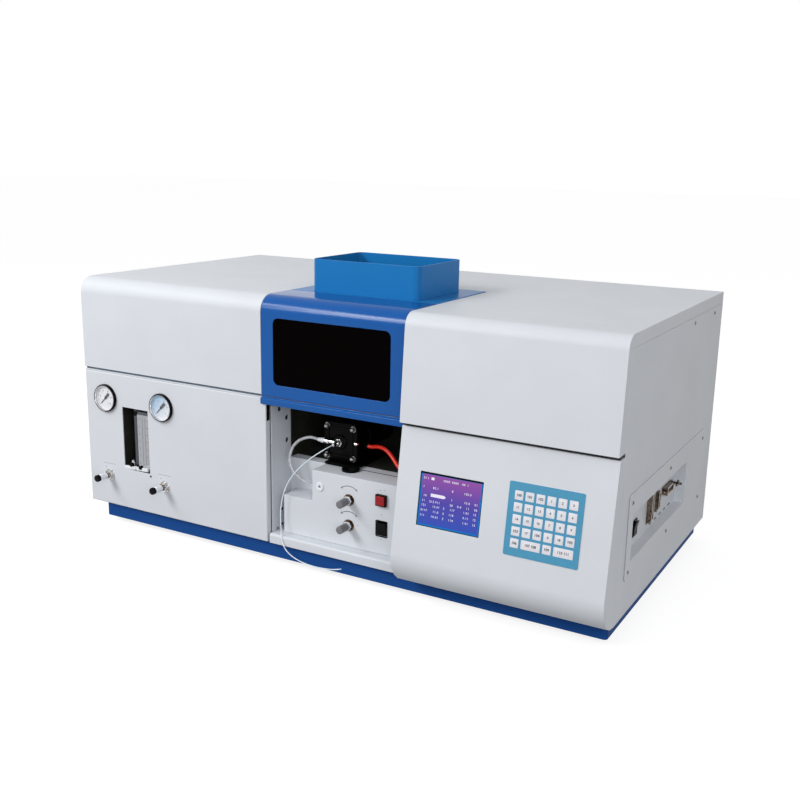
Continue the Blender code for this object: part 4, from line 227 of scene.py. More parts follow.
# A finish: its colour, as a code or a colour that a user may change, its roughness and other even
# values, the two tones that it wanders between and over how many millimetres, and its bumps' size and
# depth in millimetres with the range of its roughness. A stretch may end the last two. A backlit
# finish gives off its colour, and the unlit share of it is its own.
FINISHES = {
    # Polyester powder baked on folded steel: a soft gloss over a faint orange peel. The real peel is
    # about 1 mm across, and it is drawn 3 mm across to show.
    "white powder coat": ("white_coat", 0.46, {SHEEN: 0.25}, COAT_TONES, (3.0, 0.05, (0.42, 0.52))),
    "blue powder coat": ("hood_blue", 0.17, {SHEEN: 0.22}, COAT_TONES, (3.0, 0.05, (0.13, 0.23))),
    # The chimney's and top plate's blue coat, painted a little paler and greener than the visor's as
    # painted light on the upper parts.
    "pale blue powder coat": ("#1A70B0", 0.3, {SHEEN: 0.12}, COAT_TONES, (3.0, 0.05, (0.26, 0.36))),
    "dark blue powder coat": ("base_blue", 0.5, {SHEEN: 0.03}, COAT_TONES, (3.0, 0.05, (0.46, 0.56))),
    # Matt black stoving paint in the burner bay, a little sooty.
    "black stoving paint": ("#23231E", 0.6, {SHEEN: 0.15}, ("#1B1B17", "#2C2C26", 40), (1.5, 0.05)),
    # Chromium plate on brass: a mirror with a slight haze.
    "chromium plate": ("#CFCFD2", 0.1, METAL, None, (2.0, 0.002, (0.07, 0.16))),
    # Chromium over coarse-turned steel, with light and dark patches that are painted reflections.
    "turned chromium": ("#B4B2B3", 0.2, METAL, ("#8A8786", "#E4E4E6", 3), (0.6, 0.01, (0.12, 0.28))),
    # Dark metal with narrow bright reflections: black nickel on the pointer's hub and the hose clip, and on
    # the rolled steel bezel a painted dark reflection.
    "black nickel": ("#191514", 0.12, METAL, None, (2.0, 0.002, (0.08, 0.2))),
    # Turned metal with a bronze tint: its dark colour and its bright patches are painted reflections.
    "oiled bronze": ("#4A382C", 0.22, METAL, ("#1A110B", "#7E6C5E", 4), (0.6, 0.01, (0.14, 0.3))),
    # Nickel plate over brass, turned: the brass warms its reflections, and its dark and bright patches are
    # painted reflections.
    "nickelled brass": ("#8F7F70", 0.16, METAL, ("#3E3028", "#A8998B", 2.5), (0.6, 0.01, (0.12, 0.28))),
    # Rolled mild steel with a directional grain.
    "mild steel": ("#8D8E90", 0.35, METAL, None, (0.8, 0.01, (0.28, 0.45), (1, 12, 1))),
    # Anodised aluminium, turned and bead-blasted: an even pale satin.
    "anodised aluminium": ("#B4B6BA", 0.38, METAL, ("#ABADB2", "#BEC0C4", 6), (0.5, 0.01, (0.32, 0.46))),
    # Knurled anodised aluminium: grains as wide as the knurl's 0.8 mm diamonds break up the light.
    "knurled grip": (
        "#67686C", 0.5, {"Metallic": 0.25}, ("#5A5B5F", "#77787C", 1.6), (0.8, 0.12, (0.42, 0.58)),
    ),
    # Satin-anodised valve barrel: pale grey with turning rings.
    "anodised barrel": ("#DCE0E6", 0.34, {"Metallic": 0.3}, None, (0.7, 0.01, (0.26, 0.4), (1, 9, 1))),
    # Milled titanium, straw and blue where the flame heats it.
    "heated titanium": (
        "#7D7770", 0.36, METAL, ("#6A6672", "#94887A", 18), (0.8, 0.02, (0.28, 0.5), (1, 8, 8)),
    ),
    # Moulded ABS with a fine spark-eroded grain.
    "black abs": ("#070708", 0.38, {SHEEN: 0.07}, None, (0.7, 0.02, (0.3, 0.42))),
    # Moulded fluoropolymer of the spray chamber: dense black, smooth, slightly waxy.
    "black fluoropolymer": ("#050505", 0.3, {SHEEN: 0.05}, None, (2.0, 0.02, (0.22, 0.36))),
    # Moulded dark grey acetal.
    "grey plastic": ("#4A4D55", 0.35, {SHEEN: 0.3}, None, (1.0, 0.01, (0.3, 0.42))),
    # Clear-red polycarbonate cap, glossy.
    "red polycarbonate": ("#961620", 0.22, {SHEEN: 0.2}, ("#8A1018", "#A21C24", 8), (1.5, 0.01)),
    # Dark smoked acrylic, 3 mm: nearly black, with a faint sheen.
    "smoked acrylic": ("#030101", 0.12, {SHEEN: 0.01, "Alpha": 0.985}, None, (60, 0.05, (0.07, 0.13))),
    # Float glass over the dial: clear, with a weak reflection.
    "dial glass": ("#E8EEF2", 0.03, {SHEEN: 0.25, "Alpha": 0.05}, None, (20, 0.01)),
    # Polished clear acrylic: it shows what is behind it, under a grey veil.
    "clear acrylic": ("#D4D6DC", 0.14, {"Alpha": 0.5}, None, (12, 0.02, (0.1, 0.24))),
    # Blown borosilicate: clear, with soft highlights.
    "borosilicate glass": ("#DCE8EC", 0.05, {"Alpha": 0.28}, None, (25, 0.05)),
    # Moulded nitrile rubber, dusty in its grain, on the feet. The same dark finish in the right seam and
    # above the visor's lip is painted shadow.
    "nitrile rubber": ("#1A1A1B", 0.8, {}, ("#141415", "#262627", 6), (0.8, 0.06)),
    # Blue-grey strip in the seam under the left cover's front edge: painted shade of the seam.
    "grey foam": ("#5E697A", 0.8, {}, ("#556072", "#687383", 5), (1.0, 0.1)),
    # Printed polyester film, bead-textured against fingerprints, and the same film over white keys.
    "teal polyester film": ("keypad_teal", 0.5, {}, (0.96, 1.04, 7), (0.6, 0.015)),
    "white polyester film": ("#D8D7DD", 0.5, {}, ("#D2D1D7", "#DEDDE3", 7), (0.6, 0.015)),
    # Matt enamel on the dials, white on the left one and pale blue on the right one. The right one's grade
    # is painted shade of its bezel.
    "white enamel": ("#DFE0E6", 0.5, {}, ("#D4D6DE", "#E9E9EC", 12), (1.0, 0.01)),
    "blue enamel": ("#BFD0E2", 0.5, {}, None, (1.0, 0.01)),
    # Screen-printed ink, matt, and the thin grey print on the coat.
    "dark ink": ("#1B1C21", 0.6, {}, None, (0.5, 0.005)),
    "grey ink": ("#6B707B", 0.6, {}, None, (0.5, 0.005)),
    # Moulded nylon, translucent at its edges.
    "white nylon": ("#E6E7EA", 0.32, {"Subsurface Weight": 0.1}, None, (1.0, 0.01)),
    # Backlit panel, its plain rim and its figures, over a fine pixel grain.
    "backlit ground": ("#5A4BA6", 0.35, {SHEEN: 0.1, GLOW: 0.7}, None, (0.5, 0.002)),
    "backlit rim": ("#1C7BD0", 0.35, {SHEEN: 0.1, GLOW: 0.5}, None, (0.5, 0.002)),
    "backlit figures": ("#E9E6F4", 0.35, {SHEEN: 0.1, GLOW: 0.7}, None, (0.5, 0.002)),
    # Extruded red rubber hose, smooth and slightly glossy.
    "red rubber": ("red_hose", 0.34, {}, (0.9, 1.08, 9), (2.0, 0.02)),
    # Soft clear vinyl hose: a milky wall with a bright core.
    "clear vinyl": (
        "#D7DADF", 0.18, {"Transmission Weight": 0.45, "IOR": 1.45}, ("#C2C5CC", "#ECEDEF", 5), (2.0, 0.02),
    ),
    # Drawn fluoropolymer capillary: white and slightly waxy.
    "fluoropolymer capillary": (
        "#E3E8F0", 0.3, {"Subsurface Weight": 0.15}, ("#D6DEEA", "#EEF1F6", 12), (1.0, 0.01),
    ),
    # Glass-epoxy board under green solder mask, with paler copper tracks beneath it.
    "green laminate": ("#1E6B3C", 0.36, {}, ("#155A30", "#2C8049", 3, (1, 1, 4)), (0.8, 0.03)),
    # Lacquered copper wire under varnished paper: close-laid turns of about 1 mm.
    "copper winding": (
        "#9C5B2C", 0.34, {"Metallic": 0.6}, ("#7B4420", "#B87840", 2, (1, 1, 10)), (1.0, 0.15),
    ),
}

GAUGES = {
    "left": (-460, (0, 2, 4, 6, 8, 10), "white enamel"),
    "right": (-326, (0, 1, 2, 3, 4, 5), "blue enamel"),
}
GAUGE_Z = 232.5
RIGHT_DIAL = in_frame((GAUGES["right"][0], 0, GAUGE_Z))
DIAL_SLANT = RIGHT_DIAL.x - RIGHT_DIAL.z
DIAL_REACH = 24 * MM
SCREEN_FOOT, SCREEN_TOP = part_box("display_module")

# A grade: the direction it runs in, where it starts and ends along it, its colours and its socket. The
# right dial is painted darker and bluer towards its upper left as the shadow of its bezel, and paler
# towards its lower right where it is lit; the screen is purple at its top and blue at its foot.
GRADES = {
    "blue enamel": (
        (1, 0, -1), DIAL_SLANT - DIAL_REACH, DIAL_SLANT + DIAL_REACH, ((0.0, "#9FC0DC"), (1.0, "#E4E6EA")),
        "Base Color",
    ),
    "backlit ground": (
        (0, 0, 1), SCREEN_FOOT.z, SCREEN_TOP.z, ((0.1, "#1454B8"), (0.9, "#A254A0"), (0.5, "#5048A6")),
        "Emission Color",
    ),
}


def finish(name):
    """A finish by its name, made from its row when it is first asked for."""
    if name in bpy.data.materials:
        return bpy.data.materials[name]
    colour, roughness, sockets, wander, grain = FINISHES[name]
    own = linear(colour) if colour[0] == "#" else getattr(bpy.context.scene.spectrometer_colours, colour)[:]
    if GLOW in sockets:
        made = fresh(name, toned(UNLIT_SHARE, own), roughness, {**sockets, "Emission Color": (*own, 1)})
    else:
        made = fresh(name, own, roughness, sockets)
    if wander:
        dark, light, *reach = wander
        mottled(made, toned(dark, own), toned(light, own), *reach)
    if name in GRADES:
        graded(made, *GRADES[name])
    return textured(made, *grain)


def oblong(width, height, radius=0.0, steps=4):
    """A rectangle about the origin, with round corners where a radius is given."""
    if not radius:
        return [(x * width / 2, y * height / 2) for x, y in ((-1, -1), (1, -1), (1, 1), (-1, 1))]
    outline = []
    for number, (side, level) in enumerate(((1, 1), (-1, 1), (-1, -1), (1, -1))):
        centre = (side * (width / 2 - radius), level * (height / 2 - radius))
        for step in range(steps + 1):
            angle = QUARTER * (number + step / steps)
            outline.append((centre[0] + radius * math.cos(angle), centre[1] + radius * math.sin(angle)))
    return outline


def polygon(radius, sides, inner=None):
    """A regular outline; with an inner radius every other corner lies on it, as on a fluted grip."""
    corners = []
    for number in range(sides):
        reach = inner if inner and number % 2 else radius
        angle = math.tau * number / sides
        corners.append((reach * math.cos(angle), reach * math.sin(angle)))
    return corners


def drawn(outline, low, high):
    """A flat outline carried from one height to another."""
    shape = bmesh.new()
    face = shape.faces.new([shape.verts.new((x, y, low)) for x, y in outline])
    grown = bmesh.ops.extrude_face_region(shape, geom=[face])
    moving = [item for item in grown["geom"] if isinstance(item, bmesh.types.BMVert)]
    bmesh.ops.translate(shape, verts=moving, vec=(0, 0, high - low))
    return shape


def turned(profile, steps=40, closed=False):
    """A profile of (radius, height) spun about Z."""
    shape = bmesh.new()
    points = [shape.verts.new((radius, 0, height)) for radius, height in profile]
    edges = [shape.edges.new(pair) for pair in zip(points, points[1:])]
    if closed:
        edges.append(shape.edges.new((points[-1], points[0])))
    bmesh.ops.spin(
        shape, geom=points + edges, cent=(0, 0, 0), axis=(0, 0, 1), angle=math.tau, steps=steps,
        use_merge=True,
    )
    bmesh.ops.remove_doubles(shape, verts=shape.verts, dist=MM)
    return shape


def rod(radius, low, high, steps=32, ease=0.0):
    """A cylinder along Z, with its two rims eased."""
    side = [(radius, low), (radius, high)]
    if ease:
        side = [(radius - ease, low), (radius, low + ease), (radius, high - ease), (radius - ease, high)]
    return turned([(0, low), *side, (0, high)], steps)


def framed(outer, inner, low, high):
    """A flat ring between two outlines with the same number of corners."""
    shape = bmesh.new()
    loops = []
    for level in (low, high):
        for outline in (outer, inner):
            loops.append([shape.verts.new((x, y, level)) for x, y in outline])
    order = (loops[0], loops[1], loops[3], loops[2])
    for near, far in zip(order, order[1:] + order[:1]):
        for i in range(len(near)):
            j = (i + 1) % len(near)
            shape.faces.new((near[i], near[j], far[j], far[i]))
    return shape


def eased(shape, width, segments=2):
    """Rounds a shape's sharp edges."""
    sharp = [e for e in shape.edges if len(e.link_faces) == 2 and e.calc_face_angle() > EASE_ANGLE]
    bmesh.ops.bevel(
        shape, geom=sharp, offset=width, offset_type="OFFSET", segments=segments, profile=0.5,
        affect="EDGES", clamp_overlap=False, material=-1,
    )
    return shape


def slab(width, height, low, high, ease=0.0, segments=2, corner=0.0, steps=4):
    """A rectangle carried from one height to another, with round corners and eased edges where asked."""
    shape = drawn(oblong(width, height, corner, steps), low, high)
    return eased(shape, ease, segments) if ease else shape


def prism(radius, sides, low, high, ease, segments=2, inner=None):
    """A regular or fluted outline carried from one height to another, its edges eased."""
    return eased(drawn(polygon(radius, sides, inner), low, high), ease, segments)


def around(radius, turn, lift=0.0):
    """A point at a radius, turned about Z from straight up."""
    return (-radius * math.sin(turn), radius * math.cos(turn), lift)


def placed(shape, centre, wall="top", turn=0.0):
    """Puts a shape on a wall at a place, turned about its outward line."""
    shape.transform(Matrix.Translation(centre) @ WALLS[wall] @ Matrix.Rotation(turn, 4, "Z"))
    return shape


def joined(shapes):
    """Several shapes as one, in their order."""
    whole = bmesh.new()
    for shape in shapes:
        part = bpy.data.meshes.new("part")
        shape.to_mesh(part)
        shape.free()
        whole.from_mesh(part)
        bpy.data.meshes.remove(part)
    return whole


def keep_faces(shape, wanted):
    """Leaves only those faces of a shape that are wanted."""
    away = [face for face in shape.faces if not wanted(face)]
    bmesh.ops.delete(shape, geom=away, context="FACES")


def piece(name, parts, body=CABINET, slot=None, replaces=(), at=(0, 0, 0), wall="top", keep_normals=False):
    """Makes shapes with their finishes one named object on a wall, and lets it ride on a body."""
    mesh = bpy.data.meshes.new(name)
    for number, (shape, surface) in enumerate(parts):
        placed(shape, at, wall)
        for face in shape.faces:
            face.material_index = number
        mesh.materials.append(finish(surface))
    whole = joined([shape for shape, _ in parts])
    if not keep_normals:
        bmesh.ops.recalc_face_normals(whole, faces=whole.faces)
    whole.transform(Matrix.Translation(ORIGIN) @ Matrix.Scale(MM, 4))
    whole.to_mesh(mesh)
    whole.free()
    mesh.shade_smooth()
    mesh.set_sharp_from_angle(angle=SMOOTH_ANGLE)
    made = bpy.data.objects.new(name, mesh)
    bpy.context.scene.collection.objects.link(made)
    if replaces:
        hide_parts(*replaces)
    if body:
        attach(made, body)
    return made


def solid_shape(node):
    """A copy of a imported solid's mesh, merged and cleared of its inner edges, in millimetres."""
    shape = bmesh.new()
    shape.from_mesh(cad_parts[node].data)
    shape.transform(Matrix.Scale(1 / MM, 4) @ Matrix.Translation(-ORIGIN))
    bmesh.ops.remove_doubles(shape, verts=shape.verts, dist=MM)
    bmesh.ops.dissolve_limit(shape, angle_limit=FLAT_ANGLE, verts=shape.verts, edges=shape.edges)
    return shape


def coated_solid(node, surface, body=CABINET, width=None, slot=None):
    """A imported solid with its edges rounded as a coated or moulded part's are."""
    width = width or bpy.context.scene.spectrometer_sizes.edge_round / MM
    shape = eased(solid_shape(node), width)
    made = piece(f"{node}_rounded", [(shape, surface)], body, slot, [node])
    shading = made.modifiers.new("even shading", "WEIGHTED_NORMAL")
    shading.keep_sharp = True


def lettering(text, height, weight=0.012, spacing=1.0):
    """Plain figures as thin raised print, centred on the origin."""
    curve = bpy.data.curves.new("figures", "FONT")
    curve.body = text
    curve.size = height
    curve.extrude = PRINT / 2
    curve.offset = weight * height
    curve.space_character = spacing
    curve.resolution_u = 2
    curve.align_x = "CENTER"
    curve.align_y = "CENTER"
    holder = bpy.data.objects.new("figures", curve)
    bpy.context.scene.collection.objects.link(holder)
    bpy.context.view_layer.update()
    mesh = bpy.data.meshes.new_from_object(holder.evaluated_get(bpy.context.evaluated_depsgraph_get()))
    shape = bmesh.new()
    shape.from_mesh(mesh)
    bmesh.ops.remove_doubles(shape, verts=shape.verts, dist=MM)
    bpy.data.objects.remove(holder)
    bpy.data.curves.remove(curve)
    bpy.data.meshes.remove(mesh)
    return shape


HEAD_RISE = 1.4
CROSS_DEPTH = 0.9
CROSS_HALF_SHARE = 0.17
CROSS_REACH_SHARE = 0.62
GRID_SHARES = (-1, -0.72, -0.5, -0.16, 0.16, 0.5, 0.72, 1)
DOME_FALL_SHARE = 0.55
FIRST_TURN = 0.3
NEXT_TURN = 0.7


def cross_head(radius):
    """A domed screw head with a cross recess, drawn from a grid pressed into a disc."""
    shape = bmesh.new()
    cells = len(GRID_SHARES) - 1
    bmesh.ops.create_grid(shape, x_segments=cells, y_segments=cells, size=1)
    for corner in shape.verts:
        x, y = (GRID_SHARES[round((value + 1) * cells / 2)] for value in corner.co.xy)
        flat = Vector((x * math.sqrt(1 - y * y / 2), y * math.sqrt(1 - x * x / 2)))
        rise = HEAD_RISE * (1 - DOME_FALL_SHARE * flat.length_squared)
        corner.co = (flat.x * radius, flat.y * radius, rise)
    arms = []
    for face in shape.faces:
        middle = face.calc_center_median().xy
        if min(map(abs, middle)) < CROSS_HALF_SHARE * radius and middle.length < CROSS_REACH_SHARE * radius:
            arms.append(face)
    sunk = bmesh.ops.extrude_face_region(shape, geom=arms)
    moving = [item for item in sunk["geom"] if isinstance(item, bmesh.types.BMVert)]
    bmesh.ops.translate(shape, verts=moving, vec=(0, 0, -CROSS_DEPTH))
    bmesh.ops.delete(shape, geom=arms, context="FACES_ONLY")
    rim = [edge for edge in shape.edges if edge.is_boundary]
    skirt = bmesh.ops.extrude_edge_only(shape, edges=rim)
    for item in skirt["geom"]:
        if isinstance(item, bmesh.types.BMVert):
            item.co.z = 0
    bmesh.ops.contextual_create(shape, geom=[edge for edge in shape.edges if edge.is_boundary])
    return shape


def screws(name, places, wall, surface="nickelled brass", radius=None):
    """A row of screw heads on a wall, each turned a little further than the last."""
    radius = radius or bpy.context.scene.spectrometer_sizes.screw_radius / MM
    heads = []
    for number, place in enumerate(places):
        heads.append(placed(cross_head(radius), place, wall, FIRST_TURN + NEXT_TURN * number))
    piece(name, [(joined(heads), surface)], slot="steel")


def smooth_path(route, step):
    """Points along a smooth curve through a route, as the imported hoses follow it."""
    points = [Vector(point) for point in route]
    ends = [points[0] * 2 - points[1]] + points + [points[-1] * 2 - points[-2]]
    path = []
    for i in range(1, len(ends) - 2):
        before, start, end, after = ends[i - 1 : i + 3]
        count = max(1, round((end - start).length / step))
        for j in range(count):
            t = j / count
            bend = 2 * before - 5 * start + 4 * end - after
            twist = 3 * start - before - 3 * end + after
            path.append((2 * start + (end - before) * t + bend * t * t + twist * t**3) / 2)
    path.append(points[-1])
    return path


HOSE_SIDES = 16
NEARLY_ALONG = 0.95


def tube_shape(path, radius):
    """A closed round tube along a path in millimetres, its rings kept from twisting."""
    shape = bmesh.new()
    side = Vector((0, 0, 1))
    rings = []
    for i, point in enumerate(path):
        along = (path[min(i + 1, len(path) - 1)] - path[max(i - 1, 0)]).normalized()
        if abs(along.dot(side)) > NEARLY_ALONG:
            side = Vector((0, 1, 0))
        side = (side - along * side.dot(along)).normalized()
        made = bmesh.ops.create_circle(shape, segments=HOSE_SIDES, radius=radius)["verts"]
        turn = Matrix((side, along.cross(side), along)).transposed().to_4x4()
        bmesh.ops.transform(shape, matrix=Matrix.Translation(point) @ turn, verts=made)
        rings.append(made)
    for near, far in zip(rings, rings[1:]):
        loops = [edge for edge in shape.edges if all(v in near for v in edge.verts)]
        loops += [edge for edge in shape.edges if all(v in far for v in edge.verts)]
        bmesh.ops.bridge_loops(shape, edges=loops)
    for ring in (rings[0], rings[-1]):
        shape.faces.new(ring)
    return shape


AIR_HOSE = [
    (-22.3, 59.7, 206.0), (-33.0, 59.7, 206.0), (-45.0, 57.0, 208.2), (-56.0, 52.0, 206.5),
    (-65.5, 45.5, 201.0), (-72.0, 39.0, 191.0), (-74.2, 34.5, 178.0), (-72.8, 32.5, 165.0),
    (-68.0, 32.5, 154.0), (-60.0, 34.5, 144.5), (-50.0, 37.0, 137.5), (-39.5, 39.0, 132.5),
    (-30.0, 40.0, 130.0), (-20.5, 40.0, 129.0),
]
FUEL_HOSE = [
    (45.8, 86.0, 200.5), (56.0, 86.0, 200.5), (66.0, 84.0, 203.0), (76.0, 81.5, 203.8),
    (86.0, 78.5, 202.5), (96.0, 75.5, 198.0), (106.0, 71.5, 191.0), (115.0, 68.0, 183.5),
    (125.0, 65.0, 177.5), (136.0, 62.2, 173.8), (147.0, 60.5, 173.0), (158.0, 60.0, 173.5),
    (169.2, 60.0, 173.5),
]
CAPILLARY = [
    (6.0, 50.0, 206.0), (6.0, 43.0, 206.0), (6.0, 36.0, 205.9), (5.0, 28.0, 204.8),
    (1.0, 20.8, 201.4), (-7.5, 16.0, 195.0), (-18.5, 12.8, 186.2), (-31.0, 10.8, 175.0),
    (-43.5, 10.1, 162.2), (-54.8, 9.8, 148.2), (-64.2, 9.6, 132.5), (-70.8, 9.2, 115.5),
    (-74.5, 8.5, 97.5), (-75.4, 7.3, 80.0), (-73.8, 5.5, 65.0), (-71.4, 3.3, 53.5),
    (-69.2, 0.7, 46.5), (-67.0, -1.4, 40.5), (-63.8, -3.2, 34.5), (-58.0, -5.0, 27.2),
    (-49.0, -6.0, 20.2), (-37.5, -6.4, 14.8), (-23.5, -6.6, 11.0), (-8.0, -6.6, 9.0),
    (8.5, -6.6, 8.6), (25.0, -6.7, 9.6), (41.0, -6.9, 12.2), (56.0, -7.1, 16.2),
]


def hose(name, path, radius, surface, slot, bodies, replaces=(), far_end="object", lay="loose"):
    """A hose along a path, made as one piece on no body; the bodies it is given are not used."""
    made = piece(name, [(tube_shape(path, radius), surface)], None, slot, replaces)
    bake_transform(made)


HOSES = (
    ("air_hose", AIR_HOSE, 2.4, "clear vinyl", "clear_hose"),
    ("fuel_hose", FUEL_HOSE, 3.2, "red rubber", "red_hose"),
)
HOSE_STEP = 3.0
CAPILLARY_STEP = 4.0
CAPILLARY_RADIUS = 0.9
LIFT = (CABINET, "burner_lift")
SLIDE = ("burner_lift", "burner")


class SPECTROMETER_OT_hoses(bpy.types.Operator):
    """Adds the gas hoses and the sample capillary"""

    bl_idname = "spectrometer.hoses"
    bl_label = "Hoses and Capillary"

    def execute(self, context):
        for name, route, radius, surface, slot in HOSES:
            path = smooth_path(route, HOSE_STEP)
            middle = len(path) // 2
            hose(f"{name}_upper", path[: middle + 1], radius, surface, slot, SLIDE, [name])
            hose(f"{name}_lower", path[middle:], radius, surface, slot, LIFT, [name])
        path = smooth_path(CAPILLARY, CAPILLARY_STEP)
        bend = len(path) // 3
        look = (CAPILLARY_RADIUS, "fluoropolymer capillary", "white_tube")
        hose("capillary_upper", path[: bend + 1], *look, SLIDE, ["sample_capillary"])
        hose("capillary_lower", path[bend:], *look, LIFT, ["sample_capillary"], "bare", "hanging")
        return {"FINISHED"}


COATED = (
    ("white powder coat", "white_coat", (
        "left_front_panel", "left_side_panel", "right_side_panel", "right_front_panel", "rear_top_panel",
        "left_top_cover", "right_top_lid", "bay_sill", "control_box", "connector_panel",
    )),
    ("blue powder coat", "blue_coat", ("visor",)),
    # The chimney and the top plate carry the blue coat with painted light.
    ("pale blue powder coat", "blue_coat", ("hood_top_plate", "chimney_duct")),
    ("dark blue powder coat", "dark_blue_coat", ("base_plinth",)),
)
OPENING = {"left_top_cover": "left_cover", "right_top_lid": "right_lid", "visor": "visor_door"}
CARRIED = (
    ("white powder coat", ("rear_panel", "left_bulkhead", "right_bulkhead")),
    ("nitrile rubber", ("foot_front_left", "foot_front_right", "foot_rear_left", "foot_rear_right")),
    ("black stoving paint", ("flowmeter_recess",)),
    ("clear acrylic", ("flowmeter_block",)),
    ("mild steel", ("flowmeter_float", "grating_table", "power_transformer")),
    ("smoked acrylic", ("visor_window",)),
    ("black fluoropolymer", ("burner_lift_post",)),
    ("anodised aluminium", ("lamp_turret_stand", "lamp_turret", "monochromator_housing")),
    ("black abs", ("fan_rotor",)),
)

# A strip in a long joint: its name, its finish, its height and its runs, each from one corner to the other.
# The two seam-shade strips are painted shade, blue-grey under the left cover and black under the right lid.
SEAM_LEVEL = 280.2
SEAM_STRIPS = (
    ("left_lip", "white powder coat", 2.2, (((-508, 0.6), (-98.5, 2.6)),)),
    ("left_seal", "grey foam", 5.6, (((-508, 3.0), (-98.5, 5.0)),)),
    ("right_seal", "nitrile rubber", 5.6, (
        ((173.5, -19.6), (508.0, -17.6)), ((506.0, -17.6), (508.0, -0.6)),
    )),
)
STRIP_EASE = 0.3
DECK_EDGE = 82.0
DECK_LEVEL = 166.5
APRON_SIZE = (73.2, 104.0, 0, 1.2)
APRON_PLACE = (-57.2, 63.9, 113.4)
# A thin dark strip on the visor just above its lip, painted as the shadow under the visor's face.
PAINTED_SHADOW_LINE_SIZE = (273, 1.3, 0, 2 * PRINT)
PAINTED_SHADOW_LINE_PLACE = (31.9, 0, 284.2)


def on_deck(face):
    """Whether a face of the liner is on the white front edge of the burner's deck."""
    middle = face.calc_center_median()
    return middle.y < DECK_EDGE and middle.z < DECK_LEVEL


class SPECTROMETER_OT_cabinet(bpy.types.Operator):
    """Finishes the cabinet's coated sheets and the solids that are carried over"""

    bl_idname = "spectrometer.cabinet"
    bl_label = "Cabinet"

    def execute(self, context):
        for surface, slot, nodes in COATED:
            for node in nodes:
                coated_solid(node, surface, OPENING.get(node, CABINET), slot=slot)
        for surface, nodes in CARRIED:
            for node in nodes:
                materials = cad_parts[node].data.materials
                materials.clear()
                materials.append(finish(surface))
        # Strips in the seams; the seam-shade ones are painted shade.
        for name, surface, height, runs in SEAM_STRIPS:
            strips = []
            for (left, near), (right, far) in runs:
                strip = slab(right - left, far - near, 0, height, STRIP_EASE, 1)
                strips.append(placed(strip, ((left + right) / 2, (near + far) / 2, SEAM_LEVEL)))
            piece(f"{name}_strips", [(joined(strips), surface)])
        liner = solid_shape("burner_bay_liner")
        cut = {"plane_co": (0, DECK_EDGE, 0), "plane_no": (0, 1, 0)}
        bmesh.ops.bisect_plane(liner, geom=liner.verts[:] + liner.edges[:] + liner.faces[:], **cut)
        deck = liner.copy()
        keep_faces(deck, on_deck)
        keep_faces(liner, lambda face: not on_deck(face))
        parts = [(deck, "white powder coat"), (liner, "black stoving paint")]
        piece("bay_liner", parts, slot="black_coat", replaces=["burner_bay_liner"], keep_normals=True)
        apron = slab(*APRON_SIZE, STRIP_EASE, 1)
        piece("deck_apron", [(apron, "white powder coat")], slot="white_coat", at=APRON_PLACE, wall="front")
        # The dark line above the visor's lip is a painted shadow.
        painted_shadow_line = [(slab(*PAINTED_SHADOW_LINE_SIZE), "nitrile rubber")]
        piece("visor_crease", painted_shadow_line, "visor_door", "rubber", at=PAINTED_SHADOW_LINE_PLACE, wall="front")
        return {"FINISHED"}


GAUGE_SWEEP = math.radians(270)
GAUGE_ZERO = math.radians(135)
SCALE_RADIUS = 19.6
# A mark's width, its length and how far inside the arc its middle is.
LONG_MARK = (0.45, 3.0, 1.5)
SHORT_MARK = (0.25, 1.6, 0.8)
ARC_DASH = (2.0, 0.3)
FIGURE_RADIUS = 13.4
DIAL_FIGURE = 4.2
DIAL_FACE = 1.1
BEZEL = [(23.4, 0.3), (25.7, 0.3), (25.7, 3.6), (25.4, 4.8), (24.9, 5.6), (24.1, 6), (23.4, 5.7)]
FACET = [(22.4, 0.3), (23.4, 0.3), (23.4, 5.3), (23.0, 4.8), (22.4, 3.2)]
POINTER = [
    (-0.4, 16), (0.4, 16), (1.0, 1.2), (2.5, -0.6), (2.6, -12), (-2.6, -12), (-2.5, -0.6), (-1.0, 1.2),
]
POINTER_HUB = [(0, 1.4), (2.4, 1.4), (2.4, 2.3), (1.8, 2.8), (0, 2.9)]
DIAL_GLASS = [(0, 5.7), (8, 5.6), (16, 5.3), (22.3, 4.9), (22.3, 4.3), (16, 4.7), (8, 5.0), (0, 5.1)]


def dial_print(figures):
    """A gauge's scale: a fine arc, marks across it and figures inside it."""
    count = bpy.context.scene.spectrometer_sizes.dial_marks
    marks = []
    for number in range(count):
        turn = GAUGE_ZERO - GAUGE_SWEEP * number / (count - 1)
        width, length, inward = SHORT_MARK if number % 5 else LONG_MARK
        marks.append(placed(slab(width, length, 0, PRINT), around(SCALE_RADIUS - inward, turn), turn=turn))
        marks.append(placed(slab(*ARC_DASH, 0, PRINT), around(SCALE_RADIUS, turn), turn=turn))
    for number, figure in enumerate(figures):
        turn = GAUGE_ZERO - GAUGE_SWEEP * number / (len(figures) - 1)
        marks.append(placed(lettering(str(figure), DIAL_FIGURE), around(FIGURE_RADIUS, turn, 0.02)))
    return joined(marks)


